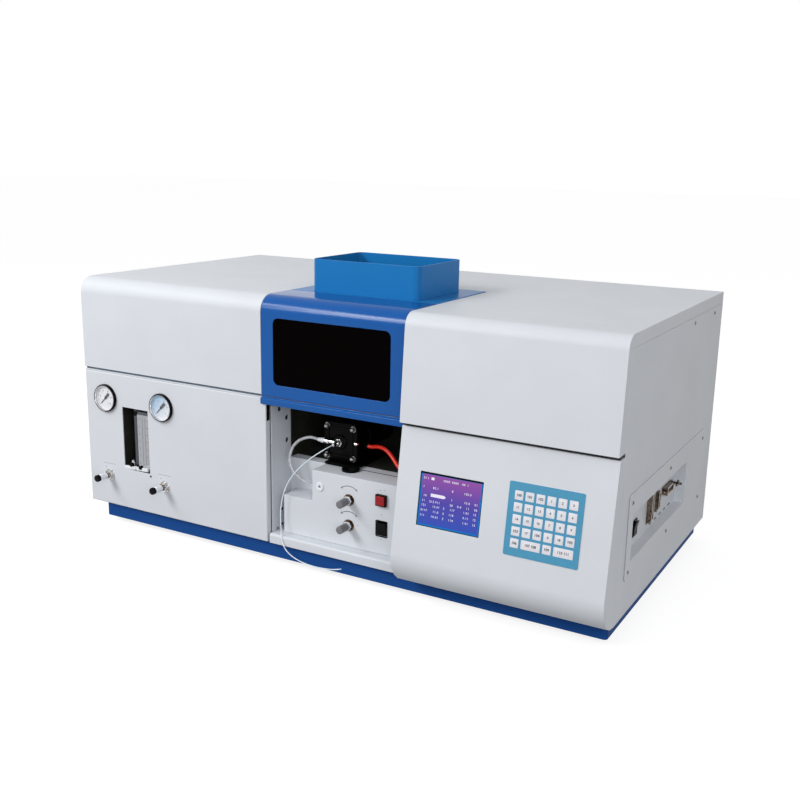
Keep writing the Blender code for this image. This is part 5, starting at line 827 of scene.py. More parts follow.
class SPECTROMETER_OT_gauges(bpy.types.Operator):
    """Adds the two pressure gauges: bezel, dial with its scale, pointer and glass"""

    bl_idname = "spectrometer.gauges"
    bl_label = "Gauges"

    def execute(self, context):
        for side, (x, figures, card) in GAUGES.items():
            spot = {"at": (x, 0, GAUGE_Z), "wall": "front"}
            # The bezel's dark ring is a painted dark reflection on its steel.
            parts = [(turned(BEZEL, 64, closed=True), "black nickel"),
                     (turned(FACET, 64, closed=True), "chromium plate"),
                     (rod(22.6, -24, 0.6, 48), "black abs")]
            piece(f"{side}_gauge_bezel", parts, slot="chrome", replaces=[f"{side}_gauge_case"], **spot)
            scale = placed(dial_print(figures), (0, 0, DIAL_FACE))
            plate = rod(22.4, 0.4, DIAL_FACE, 64)
            piece(f"{side}_gauge_dial", [(plate, card), (scale, "dark ink")], **spot)
            hand = placed(eased(drawn(POINTER, 1.5, 2.1), 0.1, 1), (0, 0, 0), turn=GAUGE_ZERO)
            parts = [(hand, "dark ink"), (turned(POINTER_HUB, 24), "black nickel")]
            old = [f"{side}_gauge_needle"]
            piece(f"{side}_gauge_pointer", parts, f"{side}_needle", "black_plastic", old, **spot)
            glass = [(turned(DIAL_GLASS, 48), "dial glass")]
            piece(f"{side}_gauge_glass", glass, slot="clear_glass", replaces=[f"{side}_gauge_lens"], **spot)
        return {"FINISHED"}


FLOW_MARKS = 31
FLOW_STEP = 2.7
FLOW_FIRST = 10
FLOW_LONG, FLOW_SHORT = 8.5, 4.5
FLOW_MARGIN = 1.5
FLOW_FIGURE = 4.4
FLOW_FIGURE_MARGIN = 4.6
FLOW_LINES = (-3.2, 3.2)
RISER = (-402, 17)
RISER_LEVEL = 106
RISER_COLLAR = [(0, 0), (7, 0), (7, 3), (6.4, 4), (6.4, 7), (5.9, 8), (0, 8)]
COLLAR_LEVELS = (103.6, 205)
BRACKET = [(-28, -2.8), (28, -0.8), (28, 5.6), (-28, 3.6)]
BRACKET_PLACE = (-394, 4, 106.5)
KNOB_PLACES = ((-405, 1.6, 113.7), (-383, 1.6, 111.5))
BRACKET_KNOB = [(0, -2), (3.6, -2), (3.6, 2.4), (3.0, 3.4), (0, 3.6)]
BRACKET_CAP_PLACE = (-397, 1.6, 108.7)
BRACKET_CAP = [(0, -2), (3.2, -2), (3.2, 3.0), (2.6, 3.8), (0, 4)]
FLOW_NUTS = ((-414, 14, 103.6), (-376, 17, 209.9))
FLOW_ELBOW_PLACE = (-414, 14, 108)
FLOW_ELBOW = [(0, 0), (3.4, 0), (3.4, 5), (2.4, 6), (2.4, 9), (0, 9)]
FLOW_SCREW = (-358.5, 0, 99.5)


class SPECTROMETER_OT_flowmeter(bpy.types.Operator):
    """Adds the flowmeter's scale, backing, riser and fittings"""

    bl_idname = "spectrometer.flowmeter"
    bl_label = "Flowmeter"

    def execute(self, context):
        low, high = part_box("flowmeter_block")
        low, high = (low - ORIGIN) / MM, (high - ORIGIN) / MM
        middle = (low + high) / 2
        size = high - low
        marks = []
        for number in range(FLOW_MARKS):
            level = low.z + FLOW_FIRST + number * FLOW_STEP
            fifth = number % 5 == 0
            length = FLOW_LONG if fifth else FLOW_SHORT
            mark = slab(length, 0.6, 0, PRINT)
            marks.append(placed(mark, (high.x - FLOW_MARGIN - length / 2, low.y, level), "front"))
            if fifth:
                figure = lettering(str(number // 5), FLOW_FIGURE)
                marks.append(placed(figure, (low.x + FLOW_FIGURE_MARGIN, low.y, level), "front"))
        for aside in FLOW_LINES:
            line = slab(0.5, size.z - 12, 0, PRINT)
            marks.append(placed(line, (middle.x + aside, low.y, middle.z), "front"))
        piece("flowmeter_scale", [(joined(marks), "dark ink")])
        backing = slab(size.x, size.z, 0, 0.5)
        behind = (middle.x, high.y + 0.6, middle.z)
        piece("flowmeter_backing", [(backing, "white enamel")], at=behind, wall="front")
        upper, lower = (placed(slab(size.x, 22, 0, 5, 0.8), (middle.x, middle.y, level))
                        for level in (high.z + 0.2, low.z - 5.2))
        piece("flowmeter_ends", [(upper, "grey plastic"), (lower, "white nylon")])
        riser = placed(rod(5.8, 0, 112, 32, 0.5), (*RISER, RISER_LEVEL))
        collars = joined([placed(turned(RISER_COLLAR, 24), (*RISER, level)) for level in COLLAR_LEVELS])
        piece("flowmeter_riser", [(riser, "grey plastic"), (collars, "black abs")])
        bar = placed(eased(drawn(BRACKET, 0, 4), 0.5), BRACKET_PLACE, "front")
        knobs = joined([placed(turned(BRACKET_KNOB, 24), place, "front") for place in KNOB_PLACES])
        cap = placed(turned(BRACKET_CAP, 24), BRACKET_CAP_PLACE, "front")
        piece("flowmeter_bracket", [(bar, "white nylon"), (knobs, "black abs"), (cap, "white nylon")])
        nuts = joined([placed(prism(5.2, 6, 0, 5, 0.4), place) for place in FLOW_NUTS])
        elbow = placed(turned(FLOW_ELBOW, 24), FLOW_ELBOW_PLACE)
        piece("flowmeter_fittings", [(nuts, "chromium plate"), (elbow, "white nylon")], slot="chrome")
        screws("flowmeter_screws", [FLOW_SCREW], "front", "black abs", 1.8)
        return {"FINISHED"}


VALVES = (("left", -459.5), ("right", -325.5))
VALVE_Z = 86.5
VALVE_COLLAR = [(0, 6.0), (6.4, 6.0), (6.8, 7.0), (6.4, 8.2), (5.6, 8.6), (5.8, 10.3), (0, 10.3)]
VALVE_BARREL = [(0, 10.6), (5.0, 10.6), (6.0, 11.6), (6.0, 27.4), (5.8, 28.0), (0, 28.0)]
VALVE_TIP = [(0, 28.0), (6.3, 28.2), (6.3, 33.4), (5.7, 34.3), (0, 34.6)]
RIB_HEIGHTS = (24.2, 26.0)
# The bars and the dot printed over a valve: their places across are from its middle.
BAR = (1.7, 0.9)
BAR_COUNT = 11
BAR_START = -13.5
BAR_STEP = 2.7
BAR_LEVEL = 107.5
DOT_SHIFT = -8.5
DOT_LEVEL = 100


class SPECTROMETER_OT_valves(bpy.types.Operator):
    """Adds the two needle valves with their nuts, barrels and black tips"""

    bl_idname = "spectrometer.valves"
    bl_label = "Needle Valves"

    def execute(self, context):
        for side, x in VALVES:
            spot = {"at": (x, 0, VALVE_Z), "wall": "front"}
            parts = [(rod(10.6, 0.1, 1.0, 40, 0.2), "turned chromium"),
                     (prism(9.5, 6, 1.0, 6.3, 0.5), "turned chromium"),
                     (turned(VALVE_COLLAR), "nickelled brass"), (rod(7, -26, 0), "nickelled brass")]
            piece(f"{side}_valve_nut", parts, slot="chrome", replaces=[f"{side}_valve_body"], **spot)
            ribs = [turned([(5.9, h), (6.25, h + 0.35), (6.25, h + 0.85), (5.9, h + 1.2)], closed=True)
                    for h in RIB_HEIGHTS]
            parts = [(rod(2.5, 9.4, 11, 24), "mild steel"), (turned(VALVE_BARREL), "anodised barrel"),
                     (joined(ribs), "anodised barrel"), (turned(VALVE_TIP), "black abs")]
            old = [f"{side}_valve_knob"]
            piece(f"{side}_valve_grip", parts, f"{side}_valve", "grey_plastic", old, **spot)
            bars = [placed(slab(*BAR, 0, PRINT), (x + BAR_START + BAR_STEP * number, 0, BAR_LEVEL), "front")
                    for number in range(BAR_COUNT)]
            dot = placed(rod(1.0, 0, PRINT, 16), (x + DOT_SHIFT, 0, DOT_LEVEL), "front")
            piece(f"{side}_valve_marks", [(joined(bars + [dot]), "grey ink")])
        return {"FINISHED"}


# The screen and the keypad are given by their place across and down the leaning panel, and their size.
PANEL_CORNER = (173, -22, 280)
SCREEN = (38.5, 63, 103, 82)
SCREEN_FACE = -1.43
# A row of the screen: how far down it is, and its figures with how far across each is.
SCREEN_ROWS = (
    (0.09, ((0.06, "01"), (0.11, "1"), (0.42, "0000"), (0.56, "0000"), (0.70, "00"), (0.77, "1"))),
    (0.26, ((0.05, "1"), (0.25, "82.1"), (0.53, "8"), (0.78, "100.0"))),
    (0.43, ((0.08, "10"), (0.53, "1"), (0.78, "10.0"), (0.93, "01"))),
    (0.53, ((0.06, "11"), (0.25, "213.911"), (0.53, "20"), (0.66, "0.4"), (0.80, "11"), (0.93, "00"))),
    (0.62, ((0.07, "121"), (0.28, "13.01"), (0.41, "5"), (0.55, "117"), (0.78, "1.01"), (0.92, "15"))),
    (0.72, ((0.08, "6117"), (0.28, "11.0"), (0.41, "5"), (0.54, "118"), (0.78, "0.11"), (0.92, "15"))),
    (0.82, ((0.06, "111"), (0.27, "10.01"), (0.41, "5"), (0.54, "114"), (0.78, "1.01"), (0.92, "15"))),
)
TEXT_SHARES = (0.96, 0.94)
HIGHLIGHT = [(-12.5, -2.4), (9.5, -2.4), (12.5, 0), (9.5, 2.4), (-12.5, 2.4)]
HIGHLIGHT_SHARES = (-0.19, 0.09)
CURSOR_SHARES = (-0.3, 0.39)


def panel_middle(across, down, width, height):
    """The middle of an area on the leaning panel, given from its left edge and down its slope."""
    along, fall = across + width / 2, (down + height / 2) / math.sqrt(1 + LEAN_SHARE**2)
    return Vector(PANEL_CORNER) + Vector((along, -LEAN_SHARE * fall, -fall))


class SPECTROMETER_OT_display(bpy.types.Operator):
    """Adds the backlit display with its rim, figures and highlight"""

    bl_idname = "spectrometer.display"
    bl_label = "Display"

    def execute(self, context):
        width, height = SCREEN[2:]
        spot = {"at": panel_middle(*SCREEN), "wall": "panel"}
        # A black ring inside the opening, a gasket that also serves as painted shadow of the opening's
        # edges, and a black strip under its top edge, a painted shadow.
        gasket_and_shadow = framed(oblong(width - 0.1, height - 0.1), oblong(width - 1.7, height - 1.7), -1.6, -0.5)
        shade = placed(slab(width - 1.8, 1.8, -1.4, -0.6), (0, height / 2 - 1.8, 0))
        parts = [(slab(width + 10, height + 10, -8.7, -2.4), "black abs"),
                 (slab(width - 0.6, height - 0.6, -9, -1.5), "backlit rim"),
                 (slab(width - 7, height - 7, -1.6, -1.45), "backlit ground"),
                 (joined([gasket_and_shadow, shade]), "black abs")]
        piece("display_screen", parts, slot="display", replaces=["display_module"], **spot)
        size = context.scene.spectrometer_sizes.figure_height / MM
        figures = []
        for level, row in SCREEN_ROWS:
            for place, text in row:
                aside, up = (place - 0.5) * TEXT_SHARES[0], (0.5 - level) * TEXT_SHARES[1]
                figure = lettering(text, size, spacing=1.2)
                figures.append(placed(figure, (aside * width, up * height, SCREEN_FACE)))
        marks = ((drawn(HIGHLIGHT, 0, PRINT), HIGHLIGHT_SHARES), (slab(5, 4, 0, PRINT), CURSOR_SHARES))
        for shape, (aside, up) in marks:
            figures.append(placed(shape, (aside * width, up * height, SCREEN_FACE)))
        piece("display_figures", [(joined(figures), "backlit figures")], slot="display", **spot)
        return {"FINISHED"}


KEYPAD = (182.056, 52.5, 112, 107)
KEY_SIZE = (12.8, 13.4)
KEY_PITCH = (16.3, 17.3)
KEY_SHIFT = 0.7
KEY_FOOT, KEY_TOP = 1.1, 1.8
KEY_PRINT = 1.83
SHORT_FIGURE, LONG_FIGURE = 4.8, 5.4
# The figures on the keys; a key is two columns wide where nothing follows it.
KEY_ROWS = (
    ("100", "101", "102", "1", "2", "3"),
    ("11", "12", "13", "4", "5", "6"),
    ("14", "15", "16", "7", "8", "9"),
    ("103", "17", "104", "0", "18", "105"),
    ("106", "107 108", None, "109", "110 111", None),
)


class SPECTROMETER_OT_keypad(bpy.types.Operator):
    """Adds the keypad's film, raised keys and their figures"""

    bl_idname = "spectrometer.keypad"
    bl_label = "Keypad"

    def execute(self, context):
        keys, figures = [], []
        for row, texts in enumerate(KEY_ROWS):
            for column, text in enumerate(texts):
                if not text:
                    continue
                extra = KEY_PITCH[0] if column < 5 and not texts[column + 1] else 0
                x = KEY_SHIFT + (column - 2.5) * KEY_PITCH[0] + extra / 2
                y = (2 - row) * KEY_PITCH[1]
                width, height = KEY_SIZE[0] + extra, KEY_SIZE[1]
                key = slab(width, height, KEY_FOOT, KEY_TOP, 0.25, corner=0.9, steps=2)
                keys.append(placed(key, (x, y, 0)))
                size = LONG_FIGURE if len(text) > 2 else SHORT_FIGURE
                figures.append(placed(lettering(text, size, weight=0.03), (x, y, KEY_PRINT)))
        film = slab(*KEYPAD[2:], 0.05, 1.2, 0.25, 1, corner=2.5)
        parts = [(film, "teal polyester film"), (joined(keys), "white polyester film"),
                 (joined(figures), "dark ink")]
        spot = {"at": panel_middle(*KEYPAD), "wall": "panel"}
        piece("keypad_film", parts, slot="teal_film", replaces=["keypad_membrane"], **spot)
        return {"FINISHED"}


BOX_FACE = 20
KNOBS = (("height", 83.0), ("traverse", 126.5))
KNOB_X = 53.0
BUSH_NECK = [(0, 5.2), (7.0, 5.2), (7.0, 6.2), (6.2, 7.0), (6.2, 7.7), (0, 7.7)]
GRIP_ROOT = [(0, 7.9), (5.4, 7.9), (6.0, 8.6), (6.0, 10.6), (0, 10.6)]
GRIP_END = [(0, 28.6), (6.1, 28.6), (5.9, 29.5), (5.0, 29.8), (0, 29.8)]
ARROW_RADIUS = 23.5
ARROW_REACH = math.radians(34)
ARROW_STEPS = 16
BOX_DOTS = ((112, 154), (119, 155), (115, 113), (114, 71), (70, 86))
SOCKET_COLLAR = [(2.2, 0.1), (7.4, 0.1), (7.4, 1.2), (6.6, 2.2), (3.0, 2.2), (2.2, 1.4)]
SOCKET_PLACE = (-4, BOX_FACE, 139)
GAS_ROCKER_PLACE = (115, BOX_FACE, 89.5)
LATCH_PLACE = (-98, 6, 256.5)
ROCKER_HOLE = (18.0, 24.6, 0.6)


def arc_arrow():
    """A printed arc with an arrowhead at each end."""
    strips = []
    length = 2 * ARROW_REACH * ARROW_RADIUS / ARROW_STEPS + 0.1
    for number in range(ARROW_STEPS):
        turn = ARROW_REACH * (1 - 2 * (number + 0.5) / ARROW_STEPS)
        strips.append(placed(slab(length, 1.3, 0, PRINT), around(ARROW_RADIUS, turn), turn=turn))
    for side in (-1, 1):
        head = drawn([(side * 4.0, 0), (0, 2.1), (0, -2.1)], 0, PRINT)
        strips.append(placed(head, around(ARROW_RADIUS, -side * ARROW_REACH), turn=-side * ARROW_REACH))
    return joined(strips)


class SPECTROMETER_OT_controls(bpy.types.Operator):
    """Adds the bay's knobs, bushes, switches, socket and printed marks"""

    bl_idname = "spectrometer.controls"
    bl_label = "Bay Controls"

    def execute(self, context):
        marks = []
        for name, z in KNOBS:
            spot = {"at": (KNOB_X, BOX_FACE, z), "wall": "front"}
            parts = [(rod(10, 0.1, 0.9, 40, 0.2), "oiled bronze"),
                     (prism(8.4, 6, 0.9, 5.4, 0.5), "oiled bronze"), (turned(BUSH_NECK), "turned chromium")]
            piece(f"{name}_bush", parts, slot="chrome", **spot)
            parts = [(prism(6.5, 72, 10.4, 29.2, 0.3, 1, inner=6.2), "knurled grip"),
                     (turned(GRIP_ROOT), "anodised aluminium"), (turned(GRIP_END), "knurled grip"),
                     (rod(3, -20, 8.2, 24), "mild steel")]
            piece(f"{name}_grip", parts, f"{name}_adjuster", "grey_plastic", [f"{name}_knob"], **spot)
            marks.append(placed(arc_arrow(), spot["at"], "front"))
        for x, z in BOX_DOTS:
            marks.append(placed(rod(0.8, 0, PRINT, 12), (x, BOX_FACE, z), "front"))
        piece("control_marks", [(joined(marks), "grey ink")])
        parts = [(turned(SOCKET_COLLAR, closed=True), "white nylon"),
                 (rod(1.5, -2, 0.9, 20, 0.2), "nickelled brass")]
        piece("socket_collar", parts, at=SOCKET_PLACE, wall="front")
        coated_solid("ignition_switch_case", "black abs", width=0.4, slot="black_plastic")
        coated_solid("ignition_button", "red polycarbonate", "ignition", 0.6, "red_plastic")
        coated_solid("gas_rocker", "black abs", "gas_switch", 0.6, "black_plastic")
        rim = framed(oblong(21.4, 27.4, 2), oblong(*ROCKER_HOLE), 0.1, 1.4)
        spot = {"at": GAS_ROCKER_PLACE, "wall": "front"}
        piece("gas_rocker_rim", [(rim, "black abs")], slot="black_plastic", **spot)
        latch = slab(8, 31, 0, 0.5, 0.1, 1)
        piece("latch_slot", [(latch, "black abs")], slot="black_plastic", at=LATCH_PLACE, wall="right")
        return {"FINISHED"}


CHAMBER = Vector((6, 66, 206))
CHAMBER_PLATE = (66, 66, -8, 0)
CHAMBER_BOSS = [(0, -0.2), (13, -0.2), (13, 1.6), (11.5, 3.0), (0, 3.0)]
CHAMBER_BARREL = [
    (0, -134), (26, -134), (27, -132), (27, -60), (29, -58), (29, -50), (27, -48), (27, -4), (0, -4),
]
CAP_NUT = [(0, 0), (5.2, 0), (5.2, 0.8), (4.0, 0.8), (4.0, 4.0), (3.5, 6.0), (2.2, 7.4), (0, 8.0)]
CAP_NUT_REACH = 25.5
FUEL_PORT = [(0, 0), (5, 0), (5, 30), (6.4, 31), (6.4, 39.2), (5.4, 39.5), (0, 39.5)]
FUEL_PORT_PLACE = (6, 86, 200.5)
NEBULIZER_STEM = [
    (0, 3), (5, 3), (5, 11.5), (4.4, 12.3), (2.6, 14.3), (2.6, 21.4), (2.2, 22.3), (1.1, 22.3), (1.1, 12),
    (0, 12),
]
AIR_ARM = [(0, 0), (3.2, 0), (3.2, 17), (4.6, 17.6), (4.6, 22), (3.2, 22.6), (3.2, 27.6), (0, 28)]
AIR_ARM_PLACE = (6, 59.7, 206)
AIR_SLEEVE = [(2.5, 0), (4.0, 0), (4.2, 1), (4.2, 6), (3.4, 7), (3.4, 11), (2.5, 11)]
FUEL_CLIP = [(3.3, 0), (4.6, 0), (4.6, 2), (4.2, 2.6), (3.3, 2.6)]
FUEL_BARB = [(0, -1), (3.4, -1), (3.4, 1.6), (2.6, 2.2), (2.6, 3.8), (0, 4.2)]
BARB_PLACE = (39, 62, 208.6)


class SPECTROMETER_OT_burner(bpy.types.Operator):
    """Adds the spray chamber with its bolted cap, the nebulizer, the couplings and the burner head"""

    bl_idname = "spectrometer.burner"
    bl_label = "Burner"

    def execute(self, context):
        ridge = framed(oblong(50, 50, 6), oblong(45, 45, 5), -0.2, 1.4)
        shapes = [slab(*CHAMBER_PLATE, 1.2, corner=9), ridge, turned(CHAMBER_BOSS)]
        shapes.append(turned(CHAMBER_BARREL, 48))
        body = joined([placed(shape, CHAMBER, "front") for shape in shapes])
        neck = placed(rod(13, 0, 56, 40, 1.0), (6, 168.5, 206))
        foot = placed(slab(40, 60, 171.5, 194, 0.8), (6, 122, 0))
        port = placed(turned(FUEL_PORT, 32), FUEL_PORT_PLACE, "right")
        nuts = [placed(turned(CAP_NUT, 20), CHAMBER + Vector((side, 0, level)) * CAP_NUT_REACH, "front")
                for side in (-1, 1) for level in (-1, 1)]
        parts = [(body, "black fluoropolymer"), (joined([neck, foot, port]), "black fluoropolymer"),
                 (joined(nuts), "mild steel")]
        piece("spray_chamber_body", parts, "burner", "black_plastic", ["spray_chamber"])
        stem = placed(joined([prism(7, 6, 0.3, 7.3, 0.4), turned(NEBULIZER_STEM, 32)]), CHAMBER, "front")
        lock = placed(prism(5.6, 40, 8.6, 11.4, 0.2, 1, inner=5.2), CHAMBER, "front")
        arm = placed(turned(AIR_ARM, 32), AIR_ARM_PLACE, "left")
        parts = [(stem, "chromium plate"), (lock, "nickelled brass"), (arm, "chromium plate")]
        piece("nebulizer_body", parts, "burner", "chrome", ["nebulizer"])
        sleeve = placed(turned(AIR_SLEEVE, 32, True), (-22, *AIR_ARM_PLACE[1:]), "left")
        clip = placed(turned(FUEL_CLIP, 32, True), FUEL_HOSE[0], "right")
        barb = placed(turned(FUEL_BARB, 24), BARB_PLACE, "right")
        parts = [(sleeve, "white nylon"), (clip, "black nickel"), (barb, "chromium plate")]
        piece("hose_sleeves", parts, "burner", "black_plastic")
        coated_solid("burner_head", "heated titanium", "head", 0.4, "titanium")
        return {"FINISHED"}


SIDE_X = 510.0
PLATE_X = 511.8
BAY_LEFT = -94.0
RECESS_X = 495.0
BOARD_FACE = 488.0
PORTS = ((190.5, 11, 44), (227, 10, 28), (292, 36, 13))
PORT_Z = 150.0
GROUND_POST = (RECESS_X, 326, 151)
GROUND_STUD = [(0, 0), (4.6, 0), (4.6, 1.2), (2.1, 1.4), (2.1, 17), (1.5, 17.8), (0, 18)]
POWER_ROCKER = (RECESS_X, 121.5, 136.4)
SHEET_SCREWS = ((46, 201), (246, 200), (456, 199), (455, 91), (247, 94), (44, 96))
SIDE_SCREWS = (
    ("connector_panel", "right", PLATE_X, None, SHEET_SCREWS),
    ("side_panel", "right", SIDE_X, None, ((333, 419.6), (469, 419.7))),
    ("left_side", "left", -SIDE_X, None, [(y, z) for y in (60, 262, 469) for z in (44, 419.6)]),
    ("bulkhead", "right", BAY_LEFT, 2.6, ((37, 78), (37, 50.6))),
    ("bulkhead_small", "right", BAY_LEFT, 1.8, ((24, 47), (33, 43))),
)


def port_parts(length, height):
    """A plated flange about a port, a round shell lip, a hexagon post at each end and a black insert."""
    lying = length > height
    reach = max(length, height) / 2 + 4.5
    flange_size = (length + 15, height + 3) if lying else (length + 3, height + 15)
    flange = framed(oblong(*flange_size, 1.4), oblong(length + 0.2, height + 0.2, 0.3), 0.1, 1.0)
    lip = framed(oblong(length + 1.0, height + 1.0, 1.2), oblong(length - 3.6, height - 3.6, 0.8), 7.6, 8.5)
    posts = [placed(prism(2.4, 6, 1, 5.4, 0.3), (side * reach, 0, 0) if lying else (0, side * reach, 0))
             for side in (-1, 1)]
    insert_size = (length - 6.6, 3.2) if lying else (3.2, height - 6.6)
    insert = slab(*insert_size, 3.05, 6.6, corner=0.5)
    return [(joined([flange, lip] + posts), "nickelled brass"), (insert, "black abs")]


class SPECTROMETER_OT_side(bpy.types.Operator):
    """Adds the right side's ports, power rocker and the screws on both sides"""

    bl_idname = "spectrometer.side"
    bl_label = "Side Fittings"

    def execute(self, context):
        board, shells = solid_shape("main_board"), solid_shape("main_board")
        keep_faces(board, lambda face: face.calc_center_median().x <= BOARD_FACE)
        keep_faces(shells, lambda face: face.calc_center_median().x > BOARD_FACE)
        parts = [(board, "green laminate"), (shells, "nickelled brass")]
        piece("board_and_shells", parts, slot="circuit_board", replaces=["main_board"], keep_normals=True)
        for number, (middle, *size) in enumerate(PORTS, 1):
            spot = {"at": (RECESS_X, middle, PORT_Z), "wall": "right"}
            piece(f"port_{number}", port_parts(*size), slot="chrome", **spot)
        wing = placed(slab(13, 5.2, 9, 12, 0.5, corner=2.4), (0, 0, 0), turn=0.5)
        post = joined([turned(GROUND_STUD, 24), wing])
        piece("ground_post", [(post, "oiled bronze")], slot="chrome", at=GROUND_POST, wall="right")
        coated_solid("power_rocker", "black abs", "power_switch", 0.6, "black_plastic")
        rim = framed(oblong(20.8, 26.4, 1), oblong(*ROCKER_HOLE), 0.1, 1.4)
        piece("power_rocker_rim", [(rim, "black abs")], slot="black_plastic", at=POWER_ROCKER, wall="right")
        for name, wall, x, radius, places in SIDE_SCREWS:
            screws(f"{name}_screws", [(x, y, z) for y, z in places], wall, radius=radius)
        return {"FINISHED"}


REAR_Y = 527.0
FAN = (330, REAR_Y, 300)
FAN_EAR = 36
SPOKE_REACH = 50
FAN_RINGS = (14, 22, 30, 38, 46)
INLET_LEVEL = 90
MAINS_INLET = (200, REAR_Y, INLET_LEVEL)
GAS_INLETS = (-400, -340)
GAS_NIPPLE = [
    (0, 8), (5.3, 8), (5.3, 12), (6.0, 13), (5.3, 16), (6.0, 17), (5.3, 20), (6.0, 21), (5.3, 25),
    (4.6, 26.1), (0, 26.1),
]
CORNERS = [(side, level) for side in (-1, 1) for level in (-1, 1)]
EDGE_SCREWS = [(x, REAR_Y, z) for x in (-490, -245, 0, 245, 490) for z in (44, 436)]
INLET_SCREWS = [(MAINS_INLET[0] + side * 18, REAR_Y, INLET_LEVEL) for side in (-1, 1)]
FAN_SCREWS = [(FAN[0] + side * FAN_EAR, REAR_Y + 2.3, FAN[2] + level * FAN_EAR) for side, level in CORNERS]


class SPECTROMETER_OT_rear(bpy.types.Operator):
    """Adds the back's fan guard, mains inlet frame, gas unions and screws"""

    bl_idname = "spectrometer.rear"
    bl_label = "Rear Fittings"

    def execute(self, context):
        wires = [turned([(r, 2.0), (r + 1.2, 2.6), (r + 1.2, 3.4), (r, 4.0), (r - 0.8, 3.0)], 64, True)
                 for r in FAN_RINGS]
        for number in range(2):
            spoke = placed(rod(1.1, -SPOKE_REACH, SPOKE_REACH, 12), (0, 0, 1.6), "front")
            wires.append(placed(spoke, (0, 0, 0), turn=QUARTER / 2 + number * QUARTER))
        for side, level in CORNERS:
            wires.append(placed(rod(4, 0.2, 2.4, 24, 0.3), (side * FAN_EAR, level * FAN_EAR, 0)))
        piece("fan_guard_wires", [(joined(wires), "chromium plate")], slot="chrome", at=FAN, wall="rear")
        inlet = eased(framed(oblong(44, 34, 3), oblong(28.4, 20.4, 1), 0.1, 2.2), 0.3, 1)
        spot = {"at": MAINS_INLET, "wall": "rear"}
        piece("mains_inlet_frame", [(inlet, "black abs")], slot="black_plastic", **spot)
        unions = [placed(shape, (x, REAR_Y, INLET_LEVEL), "rear") for x in GAS_INLETS
                  for shape in (prism(11.6, 6, 0.1, 8.3, 0.6), turned(GAS_NIPPLE, 32))]
        piece("gas_unions", [(joined(unions), "nickelled brass")], slot="chrome")
        screws("rear_screws", EDGE_SCREWS + INLET_SCREWS + FAN_SCREWS, "rear")
        return {"FINISHED"}


LAMPS = ((1, (-345.2, 168.5, 330)), (2, (-345.2, 168.5, 246)))
LAMP_GLASS = [(0, 28), (15, 28), (19, 34), (19, 150), (18, 157), (16, 165), (0, 165)]
LAMP_CUP = [(0, 90), (6, 90), (6, 112), (3, 112), (3, 94), (0, 94)]
LID = (312, 171, 384)
CHIP_FACE = 484.9
CHIPS = (
    (170, 165, 18, 9), (210, 172, 24, 9), (250, 165, 14, 14), (300, 170, 26, 9),
    (170, 95, 30, 12), (225, 92, 14, 14), (270, 100, 26, 9), (320, 95, 18, 18),
)
CANS = (190, 340)
CAN_LEVEL = 120
WINDING = (61, 57, -43, 43)
LID_SIZE = (244, 164, 0.1, 2.0)
LID_SCREWS = [(LID[0] + x, LID[1] + y, LID[2] + 2) for x in (-114, 0, 114) for y in (-74, 74)]


class SPECTROMETER_OT_interior(bpy.types.Operator):
    """Adds the lamps, the transformer's winding, the board's parts and the housing's lid"""

    bl_idname = "spectrometer.interior"
    bl_label = "Interior"

    def execute(self, context):
        for number, place in LAMPS:
            wires = [placed(rod(0.8, 28, 92, 12), (0, side * 5, 0)) for side in (-1, 1)]
            cup = joined([turned(LAMP_CUP, 32)] + wires)
            parts = [(rod(15, 0, 28, 40, 1), "black abs"), (cup, "mild steel"),
                     (turned(LAMP_GLASS), "borosilicate glass")]
            old = [f"hollow_cathode_lamp_{number}"]
            piece(f"lamp_{number}", parts, "turret", "clear_glass", old, at=place, wall="beam")
        low, high = ((corner - ORIGIN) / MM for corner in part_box("power_transformer"))
        layer = [(slab(*WINDING, 1.0, corner=12), "copper winding")]
        piece("transformer_winding", layer, slot="steel", at=(low + high) / 2, wall="front")
        lid = slab(*LID_SIZE, 0.4, corner=3)
        piece("housing_lid", [(lid, "anodised aluminium")], slot="aluminium", at=LID)
        screws("housing_lid_screws", LID_SCREWS, "top", "mild steel")
        chips = [placed(slab(*size, 0.1, 3.2, 0.3), (CHIP_FACE, y, z), "left") for y, z, *size in CHIPS]
        cans = [placed(rod(6, 0.1, 14, 24, 0.8), (CHIP_FACE, y, CAN_LEVEL), "left") for y in CANS]
        parts = [(joined(chips), "black abs"), (joined(cans), "chromium plate")]
        piece("board_parts", parts, slot="circuit_board")
        return {"FINISHED"}


CAMERA_PLACE = (885.0, -1294.2, 673.3)
CAMERA_YAW = 0.5103
CAMERA_PITCH = 0.2377
CAMERA_ROLL = 0.0193
CAMERA_FOCUS = 1007.3
CAMERA_CENTRE = (402.7, 399.1)
IMAGE_SIZE = 800
FILM_WIDTH = 36
NEAR_CLIP = 0.05
FLOOR_HALF = 20
FLOOR_DROP = 0.0003
# The floor is darker to the light it throws back than to the camera, and the sky is dimmer.
FLOOR_DARK = 0.25
FLOOR_PALE = 0.85
FLOOR_GLOW = 1.37
FLOOR_GLOW_SHARE = 0.6
SKY_LIGHT = 0.48
# A lamp: its place, what it is aimed at, its width and height, all in metres, and its watts.
STUDIO_LAMPS = (
    ("key", (-1.5, -2.7, 1.9), (0, -0.1, 0.25), (1.0, 1.0), 42),
    ("streak", (-1.3, -1.35, 1.66), (0.0, -0.25, 0.46), (1.5, 0.3), 15),
    ("fill", (2.1, -2.5, 1.3), (0.1, -0.1, 0.2), (2.2, 2.2), 36),
)


